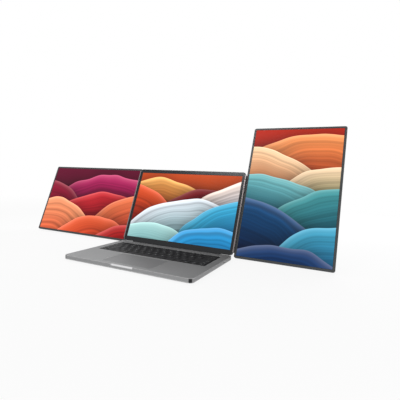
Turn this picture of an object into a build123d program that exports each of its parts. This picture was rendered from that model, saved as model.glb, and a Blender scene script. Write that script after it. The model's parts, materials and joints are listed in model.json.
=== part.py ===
from build123d import *
import os
from math import cos, radians, sin, sqrt

os.makedirs("parts", exist_ok=True)

# A clamshell computer with a portable monitor clamped on each side of its lid.
# Millimetres. Z is up, X runs to the user's right, the user sits towards -Y.
# The origin is on the desk, under the middle of the whole unit's outline.

# Clearances
SEAT_GAP = 0.3
SLIDE_GAP = 0.3
PIN_GAP = 0.05
SOCKET_GAP = 0.05

# Computer base
BASE_WIDTH = 324.0
BASE_DEPTH = 230.0
BASE_CORNER = 10.0
FOOT_HEIGHT = 1.2
FOOT_SEAT = 0.6
FOOT_RADIUS = 6.0
FOOT_INSET = 22.0
COVER_THICKNESS = 1.5
COVER_ROUND = 1.2
CASE_HEIGHT = 7.8
CASE_WALL = 2.0
DECK_THICKNESS = 1.6
DECK_CHAMFER = 0.5
NOTCH_WIDTH = 54.0
NOTCH_DEPTH = 2.4
NOTCH_DROP = 3.4

# Case screws
CASE_SCREW_INSET = 11.0
CASE_SCREW_FRONT_X = 60.0
CASE_SCREW_FRONT_INSET = 7.0
CASE_SCREW_REAR_INSET = 19.0
SCREW_HEAD_RADIUS = 1.8
SCREW_HEAD_HEIGHT = 0.8
SCREW_DRIVE_RADIUS = 0.9
SCREW_DRIVE_DEPTH = 0.4
SCREW_SHANK_RADIUS = 0.8
SCREW_LENGTH = 4.0
SCREW_BOSS_RADIUS = 2.5

# Keyboard. Key widths are in units of the key pitch.
KEY_UNITS_ACROSS = 15
FUNCTION_KEY_COUNT = 14
NUMBER_ROW = [1.0] * 13 + [2.0]
UPPER_LETTER_ROW = [1.5] + [1.0] * 12 + [1.5]
HOME_LETTER_ROW = [1.8] + [1.0] * 11 + [2.2]
LOWER_LETTER_ROW = [2.3] + [1.0] * 10 + [2.7]
KEYS_LEFT_OF_BAR = [1.0, 1.0, 1.0, 1.25]
SPACE_BAR_UNITS = 5.5
KEYS_RIGHT_OF_BAR = [1.25, 1.0, 1.0, 1.0, 1.0]
KEY_ROWS = 5
ROW_PITCH = 17.8
FUNCTION_ROW_PITCH = 11.5
KEY_SPACING = 2.6
KEY_CORNER = 1.4
KEY_THICKNESS = 1.1
KEY_CHAMFER = 0.25
KEY_LIFT = 0.9
KEY_MARGIN = 1.7
WELL_REAR_INSET = 27.0
WELL_SIDE_INSET = 18.0
TRAY_THICKNESS = 1.2
TRAY_MARGIN = 3.0

# Trackpad
TRACKPAD_WIDTH = 126.0
TRACKPAD_CORNER = 4.0
TRACKPAD_FROM_KEYS = 6.5
TRACKPAD_FRONT_INSET = 13.6
TRACKPAD_THICKNESS = 1.1
TRACKPAD_FRAME_THICKNESS = 1.0
TRACKPAD_TRAVEL_GAP = 0.4

# Inside the base
BOARD_INSET = 19.5
BOARD_THICKNESS = 1.0
CHIP_THICKNESS = 1.4
CHIP_SIZE = 16.0
CHIP_PITCH = 44.0
CHIP_COUNT = 4
CELL_THICKNESS = 5.0
CELL_FROM_TRACKPAD = 9.0
CELL_FROM_TRAY = 4.0
CELL_SIDE_INSET = 19.0
CELL_FRONT_INSET = 18.0
SPEAKER_GAP = 2.0
SPEAKER_LENGTH = 60.0
SPEAKER_HEIGHT = 4.0

# Sockets in the base and in the monitors
SOCKET_WIDTH = 9.0
SOCKET_HEIGHT = 3.2
SOCKET_DEPTH = 7.0
SOCKET_SHELL = 0.3
VIDEO_SOCKET_WIDTH = 11.4
TONGUE_THICKNESS = 0.7
TONGUE_SIDE_GAP = 1.1
TONGUE_SHORTER = 1.2
BASE_SOCKET_FROM_HINGE = 53.0
BASE_SOCKET_PITCH = 18.0

# Lid hinge
LID_TILT = 22.0
HINGE_FROM_REAR = 5.0
HINGE_DROP = 2.8
BARREL_RADIUS = 2.6
BARREL_GAP = 0.5
SLOT_WALL = 1.5
WEB_START = 1.0
SLOT_SIDE_INSET = 11.0
HINGE_PIN_RADIUS = 1.5
HINGE_COVER_INSET = 26.0
LEAF_FROM_COVER = 0.4
LEAF_WIDTH = 7.0
LEAF_LENGTH = 8.0
LEAF_THICKNESS = 1.4
HINGE_MOUNT_GAP = 0.5
HINGE_PIN_LENGTH = 12.5

# Lid
LID_START = 5.0
LID_SETBACK = 0.5
LID_THICKNESS = 5.0
LID_FACE = 3.3
LID_CORNER = 7.0
LID_BACK_WALL = 1.2
LID_SIDE_WALL = 2.0
LID_RIM = 0.8
LID_BACK_ROUND = 1.0
LID_BEZEL_THICKNESS = 0.6
LID_SIDE_BORDER = 8.0
LID_TOP_BORDER = 11.0
LID_BOTTOM_BORDER = 12.5
LID_PANEL_MARGIN = 3.0
LID_PANEL_THICKNESS = 1.4
SCREEN_RECESS = 0.1
CAMERA_LENS_RADIUS = 1.4
CAMERA_BOARD_WIDTH = 40.0
CAMERA_BOARD_HEIGHT = 4.4
CAMERA_BOARD_THICKNESS = 1.4

# Side monitors
MONITOR_ACTIVE_LONG = 344.7
MONITOR_ACTIVE_SHORT = 215.4
MONITOR_BORDER = 5.4
MONITOR_THICKNESS = 8.0
MONITOR_CORNER = 5.0
MONITOR_BACK_ROUND = 1.6
MONITOR_WALL = 1.6
MONITOR_BACK_WALL = 1.2
MONITOR_BEZEL_THICKNESS = 1.2
MONITOR_FRONT_CHAMFER = 0.4
PANEL_MARGIN = 2.6
PANEL_THICKNESS = 1.8
MONITOR_FROM_LID = 1.5
MONITOR_RISE = 1.5
DRIVER_LONG = 70.0
DRIVER_SHORT = 46.0
DRIVER_THICKNESS = 1.2
DRIVER_FROM_SOCKETS = 1.0
MONITOR_SOCKET_OFFSET = 22.0
MONITOR_SOCKET_PITCH = 19.0
BUTTON_HEIGHT = 2.4
BUTTON_PROUD = 0.5
BUTTON_FLANGE = 1.2
POWER_BUTTON_LENGTH = 9.0
POWER_BUTTON_PLACE = 30.0
MENU_BUTTON_LENGTH = 14.0
MENU_BUTTON_PLACE = 52.0

# Clamp rails along the lid's sides
RAIL_WALL = 1.4
RAIL_LIP = 1.2
RAIL_OVERLAP = 1.0
RAIL_BACK_REACH = 10.0
CLAMP_PAD = 0.6
LIP_GAP = 0.4
STRAP_THICKNESS = 1.2
MONITOR_CLEARANCE = 0.5

# Swing hinge, slide arms and turntables
SWING_AXIS_OUT = 8.0
SWING_AXIS_BEHIND = 8.2
KNUCKLE_RADIUS = 3.4
KNUCKLE_GAP_HALF = 8.0
SWING_PIN_RADIUS = 1.5
ARM_HALF_WIDTH = 16.0
ARM_THICKNESS = 3.4
ARM_START = 14.0
ARM_BOSS_LENGTH = 20.0
ARM_TRAVEL = 18.0
SWING_ARM_THICKNESS = 4.4
SWING_ARM_HALF_WIDTH = 13.0
SWING_ARM_END_RADIUS = 25.0
TURNTABLE_RADIUS = 32.0
TURNTABLE_THICKNESS = 2.2
TURNTABLE_GAP = 0.2
SHAFT_RADIUS = 7.0
CAP_RADIUS = 12.0
CAP_THICKNESS = 1.5

# Centre bracket behind the lid
BRACKET_SWEEP_GAP = 6.0
BRACKET_ABOVE_ARM = 19.5
BRACKET_BELOW_ARM = 74.5
BRACKET_CORNER = 9.0
BRACKET_WALL = 2.0
BRACKET_COVER_THICKNESS = 1.2
PAD_THICKNESS = 2.2
PAD_WIDTH = 44.0
PAD_HEIGHT = 14.0
PAD_CORNER = 2.0
PAD_SIDE_INSET = 34.0
PAD_INSET = 12.0
BRACKET_SCREW_INSET = 9.0
BRACKET_BOSS_RADIUS = 3.5
BRACKET_ROUND = 1.5

# Kickstand
KICK_AXIS_FROM_TOP = 24.0
KICK_AXIS_BEHIND = 3.2
KICK_LEAN = 20.0
KICK_BARREL_RADIUS = 3.0
KICK_LUG_RADIUS = 3.2
KICK_BARREL_HALF = 33.5
KICK_LUG_WIDTH = 7.0
KICK_LEG_HALF = 45.0
KICK_LEG_THICKNESS = 2.6
KICK_SHOULDER = 5.0
KICK_FOOT_RADIUS = 3.2
KICK_PIN_RADIUS = 1.5

# Heights in the base
CASE_BOTTOM = FOOT_HEIGHT + COVER_THICKNESS
DECK_TOP = CASE_BOTTOM + CASE_HEIGHT
DECK_UNDER = DECK_TOP - DECK_THICKNESS
TRAY_UNDER = DECK_UNDER - TRAY_THICKNESS
HINGE_HEIGHT = DECK_TOP - HINGE_DROP
SLOT_FLOOR = HINGE_HEIGHT - BARREL_RADIUS - BARREL_GAP

# Levels across the lid's thickness, counted forwards from the hinge axis
LID_FRONT = -LID_FACE
LID_BACK = LID_FRONT - LID_THICKNESS
BEZEL_BACK = LID_FRONT - LID_BEZEL_THICKNESS
STRAP_FRONT = LID_BACK - SEAT_GAP
STRAP_BACK = STRAP_FRONT - STRAP_THICKNESS
MONITOR_FRONT = STRAP_BACK - MONITOR_CLEARANCE
FRAME_BACK = MONITOR_FRONT - MONITOR_BEZEL_THICKNESS
MONITOR_BACK = MONITOR_FRONT - MONITOR_THICKNESS
MONITOR_FLOOR = MONITOR_BACK + MONITOR_BACK_WALL
SWING_AXIS = MONITOR_BACK - SWING_AXIS_BEHIND
TURNTABLE_BACK = MONITOR_BACK - TURNTABLE_THICKNESS
SWING_ARM_FRONT = TURNTABLE_BACK - TURNTABLE_GAP
SWING_ARM_BACK = SWING_ARM_FRONT - SWING_ARM_THICKNESS
CAP_FRONT = SWING_ARM_BACK - TURNTABLE_GAP
ARM_BACK = SWING_AXIS - KNUCKLE_RADIUS
ARM_FRONT = ARM_BACK + ARM_THICKNESS
BRACKET_FRONT = LID_BACK - PAD_THICKNESS
BRACKET_BODY_FRONT = BRACKET_FRONT - BRACKET_COVER_THICKNESS
BRACKET_FLOOR = ARM_BACK - SLIDE_GAP
BRACKET_BACK = BRACKET_FLOOR - BRACKET_WALL
KICK_AXIS = BRACKET_BACK - KICK_AXIS_BEHIND

# Places across the unit and up the lid, counted from the hinge axis
MONITOR_LONG = MONITOR_ACTIVE_LONG + 2 * MONITOR_BORDER
MONITOR_SHORT = MONITOR_ACTIVE_SHORT + 2 * MONITOR_BORDER
LID_WIDTH = BASE_WIDTH
LID_END = BASE_DEPTH - HINGE_FROM_REAR - LID_SETBACK
LID_HEIGHT = LID_END - LID_START
LID_MIDDLE = LID_START + LID_HEIGHT / 2
LID_ACTIVE_WIDTH = LID_WIDTH - 2 * LID_SIDE_BORDER
LID_ACTIVE_HEIGHT = LID_HEIGHT - LID_TOP_BORDER - LID_BOTTOM_BORDER
SCREEN_MIDDLE = LID_START + LID_BOTTOM_BORDER + LID_ACTIVE_HEIGHT / 2
SLOT_WIDTH = BASE_WIDTH - 2 * SLOT_SIDE_INSET
HINGE_COVER_WIDTH = SLOT_WIDTH - 2 * HINGE_COVER_INSET
LEAF_INNER_X = HINGE_COVER_WIDTH / 2 + LEAF_FROM_COVER
RAIL_INNER = LID_WIDTH / 2 + CLAMP_PAD
RAIL_OUTER = RAIL_INNER + RAIL_WALL
PIVOT_X = LID_WIDTH / 2 + MONITOR_FROM_LID + MONITOR_SHORT / 2
PIVOT_UP = MONITOR_RISE + MONITOR_SHORT / 2
MONITOR_REACH = MONITOR_LONG - MONITOR_SHORT / 2
SWING_AXIS_X = LID_WIDTH / 2 + MONITOR_FROM_LID + SWING_AXIS_OUT
ARM_LOW = PIVOT_UP - ARM_HALF_WIDTH
ARM_HIGH = PIVOT_UP + ARM_HALF_WIDTH
MONITOR_SWEEP = MONITOR_SHORT / sqrt(2)
BRACKET_WIDTH = 2 * (PIVOT_X - MONITOR_SWEEP - BRACKET_SWEEP_GAP)
BRACKET_LOW = ARM_LOW - BRACKET_BELOW_ARM
BRACKET_HIGH = ARM_HIGH + BRACKET_ABOVE_ARM
BRACKET_MIDDLE = (BRACKET_LOW + BRACKET_HIGH) / 2
BRACKET_HEIGHT = BRACKET_HIGH - BRACKET_LOW
PAD_X = BRACKET_WIDTH / 2 - PAD_SIDE_INSET
KICK_AXIS_UP = BRACKET_HIGH - KICK_AXIS_FROM_TOP
DRIVER_FROM_PIVOT = MONITOR_REACH - SOCKET_DEPTH - DRIVER_FROM_SOCKETS - DRIVER_LONG / 2

# Keyboard, trackpad and inner places, counted from the middle of the base
WELL_WIDTH = BASE_WIDTH - 2 * WELL_SIDE_INSET
WELL_DEPTH = KEY_ROWS * ROW_PITCH + FUNCTION_ROW_PITCH + 2 * KEY_MARGIN
KEY_PITCH = (WELL_WIDTH - 2 * KEY_MARGIN) / KEY_UNITS_ACROSS
WELL_REAR = BASE_DEPTH / 2 - WELL_REAR_INSET
WELL_FRONT = WELL_REAR - WELL_DEPTH
WELL_MIDDLE = (WELL_REAR + WELL_FRONT) / 2
TRACKPAD_REAR = WELL_FRONT - TRACKPAD_FROM_KEYS
TRACKPAD_FRONT = -BASE_DEPTH / 2 + TRACKPAD_FRONT_INSET
TRACKPAD_DEPTH = TRACKPAD_REAR - TRACKPAD_FRONT
TRACKPAD_MIDDLE = (TRACKPAD_REAR + TRACKPAD_FRONT) / 2
KEY_BOTTOM = DECK_UNDER + KEY_LIFT

# The base stands to the right of the origin because the left monitor lies across and
# the right one stands upright, and forwards of it because the lid leans back.
TILT_SIN = sin(radians(LID_TILT))
TILT_COS = cos(radians(LID_TILT))
LEFT_REACH = PIVOT_X + MONITOR_REACH + BUTTON_PROUD
RIGHT_REACH = PIVOT_X + MONITOR_SHORT / 2
BASE_X = (LEFT_REACH - RIGHT_REACH) / 2
HINGE_Y = BASE_DEPTH / 2 - HINGE_FROM_REAR
UPRIGHT_TOP = PIVOT_UP + MONITOR_REACH
REAR_REACH = (
    HINGE_Y
    + (UPRIGHT_TOP - MONITOR_BACK_ROUND) * TILT_SIN
    - (MONITOR_BACK + MONITOR_BACK_ROUND) * TILT_COS
    + MONITOR_BACK_ROUND
)
BASE_Y = (BASE_DEPTH / 2 - REAR_REACH) / 2

# Directions and planes
ACROSS = Vector(1, 0, 0)
UP_LID = Vector(0, TILT_SIN, TILT_COS)
OUT_OF_SCREEN = Vector(0, -TILT_COS, TILT_SIN)
base_plane = Plane(origin=(BASE_X, BASE_Y, 0))
lid_plane = Plane(
    origin=(BASE_X, BASE_Y + HINGE_Y, HINGE_HEIGHT), x_dir=ACROSS, z_dir=OUT_OF_SCREEN
)
forwards = Axis(lid_plane.origin, OUT_OF_SCREEN)

SIDES = {"left": -1, "right": 1}


def lid_point(across, up, out=0.0):
    """The place of a point given across, up and out of the lid."""
    return lid_plane.from_local_coords(Vector(across, up, out))


def lid_section(across):
    """A plane square to the lid hinge: its X runs up the lid and its Y out of the screen."""
    return Plane(origin=lid_point(across, 0), x_dir=UP_LID, z_dir=ACROSS)


def swing_section(up):
    """A plane square to the swing hinges: its X runs across and its Y into the lid."""
    return Plane(origin=lid_point(0, up), x_dir=ACROSS, z_dir=UP_LID)


def base_side_section(across):
    """A plane square to X at the base: its X runs backwards and its Y up."""
    return Plane(origin=(BASE_X + across, BASE_Y, 0), x_dir=(0, 1, 0), z_dir=ACROSS)


def monitor_plane(side):
    """A monitor's own plane: X from its inner short edge to its outer one, origin at its pivot."""
    outwards = UP_LID if side > 0 else ACROSS * -1
    return Plane(origin=lid_point(side * PIVOT_X, PIVOT_UP), x_dir=outwards, z_dir=OUT_OF_SCREEN)


def monitor_edge_section(side):
    """The plane of a monitor's outer short edge: its X runs along the edge, its Y forwards."""
    plane = monitor_plane(side)
    origin = plane.from_local_coords(Vector(MONITOR_REACH, 0, 0))
    return Plane(origin=origin, x_dir=plane.y_dir, z_dir=plane.x_dir)


def plate(plane, levels, size, corner=0.0, centre=(0, 0), mode=Mode.ADD):
    """A plate between two levels of a plane, with round corners where a radius is given."""
    with BuildSketch(plane.offset(levels[0])) as outline:
        with Locations(centre):
            if corner:
                RectangleRounded(*size, corner)
            else:
                Rectangle(*size)
    extrude(outline.sketch, amount=levels[1] - levels[0], mode=mode)


def block(plane, across, along, levels, mode=Mode.ADD):
    """A box between two places on each axis of a plane."""
    size = (abs(across[1] - across[0]), abs(along[1] - along[0]))
    centre = ((across[0] + across[1]) / 2, (along[0] + along[1]) / 2)
    plate(plane, levels, size, centre=centre, mode=mode)


def rod(plane, levels, radius, centres=((0, 0),), mode=Mode.ADD):
    """Round bars between two levels of a plane."""
    with BuildSketch(plane.offset(levels[0])) as outline:
        with Locations(*centres):
            Circle(radius)
    extrude(outline.sketch, amount=levels[1] - levels[0], mode=mode)


def slot(plane, levels, length, height, centres, mode=Mode.ADD):
    """Bars with round ends between two levels of a plane."""
    with BuildSketch(plane.offset(levels[0])) as outline:
        with Locations(*centres):
            SlotOverall(length, height)
    extrude(outline.sketch, amount=levels[1] - levels[0], mode=mode)


def save(builder, name):
    """Label a finished piece and write it."""
    builder.part.label = name
    export_step(builder.part, f"parts/{name}.step")


def four_corners(across, along, centre_along=0.0):
    """Four places at the corners of a rectangle."""
    return [(x, centre_along + y) for x in (-across, across) for y in (-along, along)]


def case_screw_places():
    """Four screws near the base's corners and two at its front."""
    across = BASE_WIDTH / 2 - CASE_SCREW_INSET
    front = -BASE_DEPTH / 2 + CASE_SCREW_INSET
    rear = BASE_DEPTH / 2 - CASE_SCREW_REAR_INSET
    middle_front = -BASE_DEPTH / 2 + CASE_SCREW_FRONT_INSET
    places = [(x, y) for x in (-across, across) for y in (front, rear)]
    return places + [(x, middle_front) for x in (-CASE_SCREW_FRONT_X, CASE_SCREW_FRONT_X)]


def foot_places():
    """Four feet, each the same distance in from two edges."""
    return four_corners(BASE_WIDTH / 2 - FOOT_INSET, BASE_DEPTH / 2 - FOOT_INSET)


def base_socket_places():
    """Two sockets in the base's left wall and one in its right wall: wall side, place, height."""
    height = (CASE_BOTTOM + DECK_UNDER) / 2
    first = HINGE_Y - BASE_SOCKET_FROM_HINGE
    return [(-1, first, height), (-1, first - BASE_SOCKET_PITCH, height), (1, first, height)]


def add_socket(section, levels, width, place):
    """A metal socket shell with its contact tongue, open at the second level."""
    low, high = levels
    slot(section, levels, width, SOCKET_HEIGHT, [place])
    inner = (width - 2 * SOCKET_SHELL, SOCKET_HEIGHT - 2 * SOCKET_SHELL)
    slot(section, (low + SOCKET_SHELL, high), *inner, [place], mode=Mode.SUBTRACT)
    tongue = (inner[0] - 2 * TONGUE_SIDE_GAP, TONGUE_THICKNESS)
    plate(section, (low, high - TONGUE_SHORTER), tongue, centre=place)


def cut_finger_scoop():
    """A sloping scoop at the middle of the deck's front edge, where a finger lifts the lid."""
    front = -BASE_DEPTH / 2
    with BuildSketch(base_side_section(-NOTCH_WIDTH / 2)) as scoop:
        with BuildLine():
            Polyline(
                (front, DECK_TOP - NOTCH_DROP),
                (front, DECK_TOP),
                (front + NOTCH_DEPTH, DECK_TOP),
                close=True,
            )
        make_face()
    extrude(scoop.sketch, amount=NOTCH_WIDTH, mode=Mode.SUBTRACT)


def make_top_case():
    outer = (BASE_WIDTH, BASE_DEPTH)
    inner = (BASE_WIDTH - 2 * CASE_WALL, BASE_DEPTH - 2 * CASE_WALL)
    slot_front = HINGE_Y - BARREL_RADIUS - BARREL_GAP
    rear = BASE_DEPTH / 2
    with BuildPart() as top_case:
        plate(base_plane, (CASE_BOTTOM, DECK_TOP), outer, BASE_CORNER)
        chamfer(top_case.edges().group_by(Axis.Z)[-1], DECK_CHAMFER)
        cavity = (CASE_BOTTOM, DECK_UNDER)
        plate(base_plane, cavity, inner, BASE_CORNER - CASE_WALL, mode=Mode.SUBTRACT)
        trough = (-SLOT_WIDTH / 2 - SLOT_WALL, SLOT_WIDTH / 2 + SLOT_WALL)
        trough_along = (slot_front - SLOT_WALL, rear - CASE_WALL)
        block(base_plane, trough, trough_along, (SLOT_FLOOR - SLOT_WALL, DECK_UNDER))
        opening = (-SLOT_WIDTH / 2, SLOT_WIDTH / 2)
        block(base_plane, opening, (slot_front, rear), (SLOT_FLOOR, DECK_TOP), Mode.SUBTRACT)
        rod(base_plane, cavity, SCREW_BOSS_RADIUS, case_screw_places())
        screw_hole = (CASE_BOTTOM, CASE_BOTTOM + SCREW_LENGTH)
        shank = SCREW_SHANK_RADIUS + PIN_GAP
        rod(base_plane, screw_hole, shank, case_screw_places(), Mode.SUBTRACT)
        deck = (DECK_UNDER, DECK_TOP)
        well = (WELL_WIDTH, WELL_DEPTH)
        plate(base_plane, deck, well, KEY_CORNER, (0, WELL_MIDDLE), Mode.SUBTRACT)
        pad = (TRACKPAD_WIDTH + 2 * SLIDE_GAP, TRACKPAD_DEPTH + 2 * SLIDE_GAP)
        pad_corner = TRACKPAD_CORNER + SLIDE_GAP
        plate(base_plane, deck, pad, pad_corner, (0, TRACKPAD_MIDDLE), Mode.SUBTRACT)
        cut_finger_scoop()
        for wall, along, height in base_socket_places():
            section = base_side_section(wall * (BASE_WIDTH / 2 - CASE_WALL))
            hole = (SOCKET_WIDTH + 2 * SOCKET_GAP, SOCKET_HEIGHT + 2 * SOCKET_GAP)
            slot(section, (0, wall * CASE_WALL), *hole, [(along, height)], Mode.SUBTRACT)
    save(top_case, "top_case")


def make_bottom_cover():
    levels = (FOOT_HEIGHT, CASE_BOTTOM)
    counterbore = (FOOT_HEIGHT, FOOT_HEIGHT + SCREW_HEAD_HEIGHT + PIN_GAP)
    with BuildPart() as bottom_cover:
        plate(base_plane, levels, (BASE_WIDTH, BASE_DEPTH), BASE_CORNER)
        fillet(bottom_cover.edges().group_by(Axis.Z)[0], COVER_ROUND)
        head = SCREW_HEAD_RADIUS + PIN_GAP
        rod(base_plane, counterbore, head, case_screw_places(), Mode.SUBTRACT)
        shank = SCREW_SHANK_RADIUS + PIN_GAP
        rod(base_plane, levels, shank, case_screw_places(), Mode.SUBTRACT)
        seat = (FOOT_HEIGHT, FOOT_HEIGHT + FOOT_SEAT)
        rod(base_plane, seat, FOOT_RADIUS + SOCKET_GAP, foot_places(), Mode.SUBTRACT)
    save(bottom_cover, "bottom_cover")


def add_screws(plane, under_head, towards_head, places):
    """Screws whose heads stand on a level of a plane, each with a six-sided driver recess."""
    top = under_head + towards_head * SCREW_HEAD_HEIGHT
    rod(plane, (under_head, top), SCREW_HEAD_RADIUS, places)
    tip = under_head - towards_head * SCREW_LENGTH
    rod(plane, (under_head, tip), SCREW_SHANK_RADIUS, places)
    with BuildSketch(plane.offset(top)) as recess:
        with Locations(*places):
            RegularPolygon(SCREW_DRIVE_RADIUS, 6)
    extrude(recess.sketch, amount=-towards_head * SCREW_DRIVE_DEPTH, mode=Mode.SUBTRACT)


def make_case_screws():
    under_head = FOOT_HEIGHT + SCREW_HEAD_HEIGHT + PIN_GAP
    with BuildPart() as case_screws:
        add_screws(base_plane, under_head, -1, case_screw_places())
    save(case_screws, "case_screws")


def make_rubber_feet():
    with BuildPart() as rubber_feet:
        rod(base_plane, (0, FOOT_HEIGHT + FOOT_SEAT), FOOT_RADIUS, foot_places())
    save(rubber_feet, "rubber_feet")


def make_keyboard_tray():
    size = (WELL_WIDTH + 2 * TRAY_MARGIN, WELL_DEPTH + 2 * TRAY_MARGIN)
    with BuildPart() as keyboard_tray:
        plate(base_plane, (TRAY_UNDER, DECK_UNDER), size, KEY_CORNER, (0, WELL_MIDDLE))
    save(keyboard_tray, "keyboard_tray")


def key_places(units, start=0.0):
    """The middle and width of each key in a row, from the row's widths in key units."""
    left = (start - KEY_UNITS_ACROSS / 2) * KEY_PITCH
    places = []
    for width in units:
        places.append((left + width * KEY_PITCH / 2, width * KEY_PITCH - KEY_SPACING))
        left += width * KEY_PITCH
    return places


def make_keys(name, places, row):
    """One row of keys. Row 0 is the shallow function row, row 5 holds the space bar."""
    rear = WELL_REAR - KEY_MARGIN
    pitch = FUNCTION_ROW_PITCH if row == 0 else ROW_PITCH
    row_rear = rear if row == 0 else rear - FUNCTION_ROW_PITCH - (row - 1) * ROW_PITCH
    middle = row_rear - pitch / 2
    with BuildPart() as keys:
        for across, width in places:
            size = (width, pitch - KEY_SPACING)
            levels = (KEY_BOTTOM, KEY_BOTTOM + KEY_THICKNESS)
            plate(base_plane, levels, size, KEY_CORNER, (across, middle))
        chamfer(keys.edges().group_by(Axis.Z)[-1], KEY_CHAMFER)
    save(keys, name)


def make_keyboard():
    function_row = [KEY_UNITS_ACROSS / FUNCTION_KEY_COUNT] * FUNCTION_KEY_COUNT
    rows = {
        "function_keys": function_row,
        "number_keys": NUMBER_ROW,
        "upper_letter_keys": UPPER_LETTER_ROW,
        "home_letter_keys": HOME_LETTER_ROW,
        "lower_letter_keys": LOWER_LETTER_ROW,
    }
    for row, (name, units) in enumerate(rows.items()):
        make_keys(name, key_places(units), row)
    bar_start = sum(KEYS_LEFT_OF_BAR)
    right_start = bar_start + SPACE_BAR_UNITS
    beside_bar = key_places(KEYS_LEFT_OF_BAR) + key_places(KEYS_RIGHT_OF_BAR, right_start)
    make_keys("bottom_row_keys", beside_bar, KEY_ROWS)
    make_keys("space_bar", key_places([SPACE_BAR_UNITS], bar_start), KEY_ROWS)


def make_trackpad():
    size = (TRACKPAD_WIDTH, TRACKPAD_DEPTH)
    frame_size = (TRACKPAD_WIDTH + 2 * TRAY_MARGIN, TRACKPAD_DEPTH + 2 * TRAY_MARGIN)
    low = DECK_UNDER + TRACKPAD_TRAVEL_GAP
    middle = (0, TRACKPAD_MIDDLE)
    with BuildPart() as trackpad:
        levels = (low, low + TRACKPAD_THICKNESS)
        plate(base_plane, levels, size, TRACKPAD_CORNER, middle)
    save(trackpad, "trackpad")
    with BuildPart() as trackpad_frame:
        levels = (DECK_UNDER - TRACKPAD_FRAME_THICKNESS, DECK_UNDER)
        plate(base_plane, levels, frame_size, TRACKPAD_CORNER, middle)
    save(trackpad_frame, "trackpad_frame")


def make_mainboard():
    board = (TRAY_UNDER - BOARD_THICKNESS, TRAY_UNDER)
    board_size = (WELL_WIDTH - 2 * BOARD_INSET, WELL_DEPTH - 2 * BOARD_INSET)
    chips = (board[0] - CHIP_THICKNESS, board[0])
    with BuildPart() as mainboard:
        plate(base_plane, board, board_size, centre=(0, WELL_MIDDLE))
        for place in range(CHIP_COUNT):
            across = (place - (CHIP_COUNT - 1) / 2) * CHIP_PITCH
            plate(base_plane, chips, (CHIP_SIZE, CHIP_SIZE), centre=(across, WELL_MIDDLE))
    save(mainboard, "mainboard")


def make_battery_cells():
    levels = (DECK_UNDER - CELL_THICKNESS, DECK_UNDER)
    inner = TRACKPAD_WIDTH / 2 + CELL_FROM_TRACKPAD
    outer = BASE_WIDTH / 2 - CELL_SIDE_INSET
    front = -BASE_DEPTH / 2 + CELL_FRONT_INSET
    rear = WELL_FRONT - TRAY_MARGIN - CELL_FROM_TRAY
    with BuildPart() as battery_cells:
        for side in SIDES.values():
            block(base_plane, (side * inner, side * outer), (front, rear), levels)
    save(battery_cells, "battery_cells")


def make_base_speakers():
    levels = (DECK_UNDER - SPEAKER_HEIGHT, DECK_UNDER)
    inner = WELL_WIDTH / 2 + TRAY_MARGIN + SPEAKER_GAP
    outer = BASE_WIDTH / 2 - CASE_WALL - SPEAKER_GAP
    rear = min(place[1] for place in base_socket_places()) - SOCKET_WIDTH
    along = (rear - SPEAKER_LENGTH, rear)
    with BuildPart() as base_speakers:
        for side in SIDES.values():
            block(base_plane, (side * inner, side * outer), along, levels)
    save(base_speakers, "base_speakers")


def make_base_sockets():
    with BuildPart() as base_sockets:
        for wall, along, height in base_socket_places():
            section = base_side_section(wall * BASE_WIDTH / 2)
            if wall < 0:
                section = Plane(origin=section.origin, x_dir=(0, -1, 0), z_dir=(-1, 0, 0))
            place = (wall * along, height)
            add_socket(section, (-SOCKET_DEPTH, 0), SOCKET_WIDTH, place)
    save(base_sockets, "base_sockets")


def hinge_mount_across(side):
    """A hinge mount fills the slot in the deck from beside its leaf to the slot's end."""
    start = LEAF_INNER_X + LEAF_WIDTH + HINGE_MOUNT_GAP
    return (side * start, side * SLOT_WIDTH / 2)


def span(section_of, across, radius, centre, mode=Mode.ADD):
    """A round bar between two places across, on sections made by the given function."""
    low, high = sorted(across)
    rod(section_of(low), (0, high - low), radius, [centre], mode)


def make_hinge_mounts():
    """Each mount lies flush in the deck, and is round at the rear where the lid's edge passes."""
    axis_place = (HINGE_Y, HINGE_HEIGHT)
    slot_front = HINGE_Y - BARREL_RADIUS - BARREL_GAP
    with BuildPart() as hinge_mounts:
        for side in SIDES.values():
            across = hinge_mount_across(side)
            span(base_side_section, across, LID_START, axis_place)
        everywhere = (-SLOT_WIDTH / 2, SLOT_WIDTH / 2)
        along = (slot_front, BASE_DEPTH / 2)
        block(base_plane, everywhere, along, (SLOT_FLOOR, DECK_TOP), Mode.INTERSECT)
        for side in SIDES.values():
            across = hinge_mount_across(side)
            bore = HINGE_PIN_RADIUS + PIN_GAP
            span(base_side_section, across, bore, axis_place, Mode.SUBTRACT)
    save(hinge_mounts, "hinge_mounts")


def lid_bar(across, up, out, mode=Mode.ADD):
    """A box in the lid's own directions: across, up and out of the screen."""
    block(lid_plane, across, up, out, mode)


def make_hinge_leaves():
    leaf_back = LID_BACK + LID_BACK_WALL + SEAT_GAP
    leaf_front = leaf_back + LEAF_THICKNESS
    with BuildPart() as hinge_leaves:
        for side in SIDES.values():
            inner = side * LEAF_INNER_X
            outer = side * (LEAF_INNER_X + LEAF_WIDTH)
            span(lid_section, (inner, outer), BARREL_RADIUS, (0, 0))
            lid_bar((inner, outer), (WEB_START, BARREL_RADIUS), (leaf_back, 0))
            reach = LID_START + LEAF_LENGTH
            lid_bar((inner, outer), (BARREL_RADIUS, reach), (leaf_back, leaf_front))
            pin_end = outer + side * HINGE_PIN_LENGTH
            span(lid_section, (outer, pin_end), HINGE_PIN_RADIUS, (0, 0))
    save(hinge_leaves, "hinge_leaves")


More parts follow.
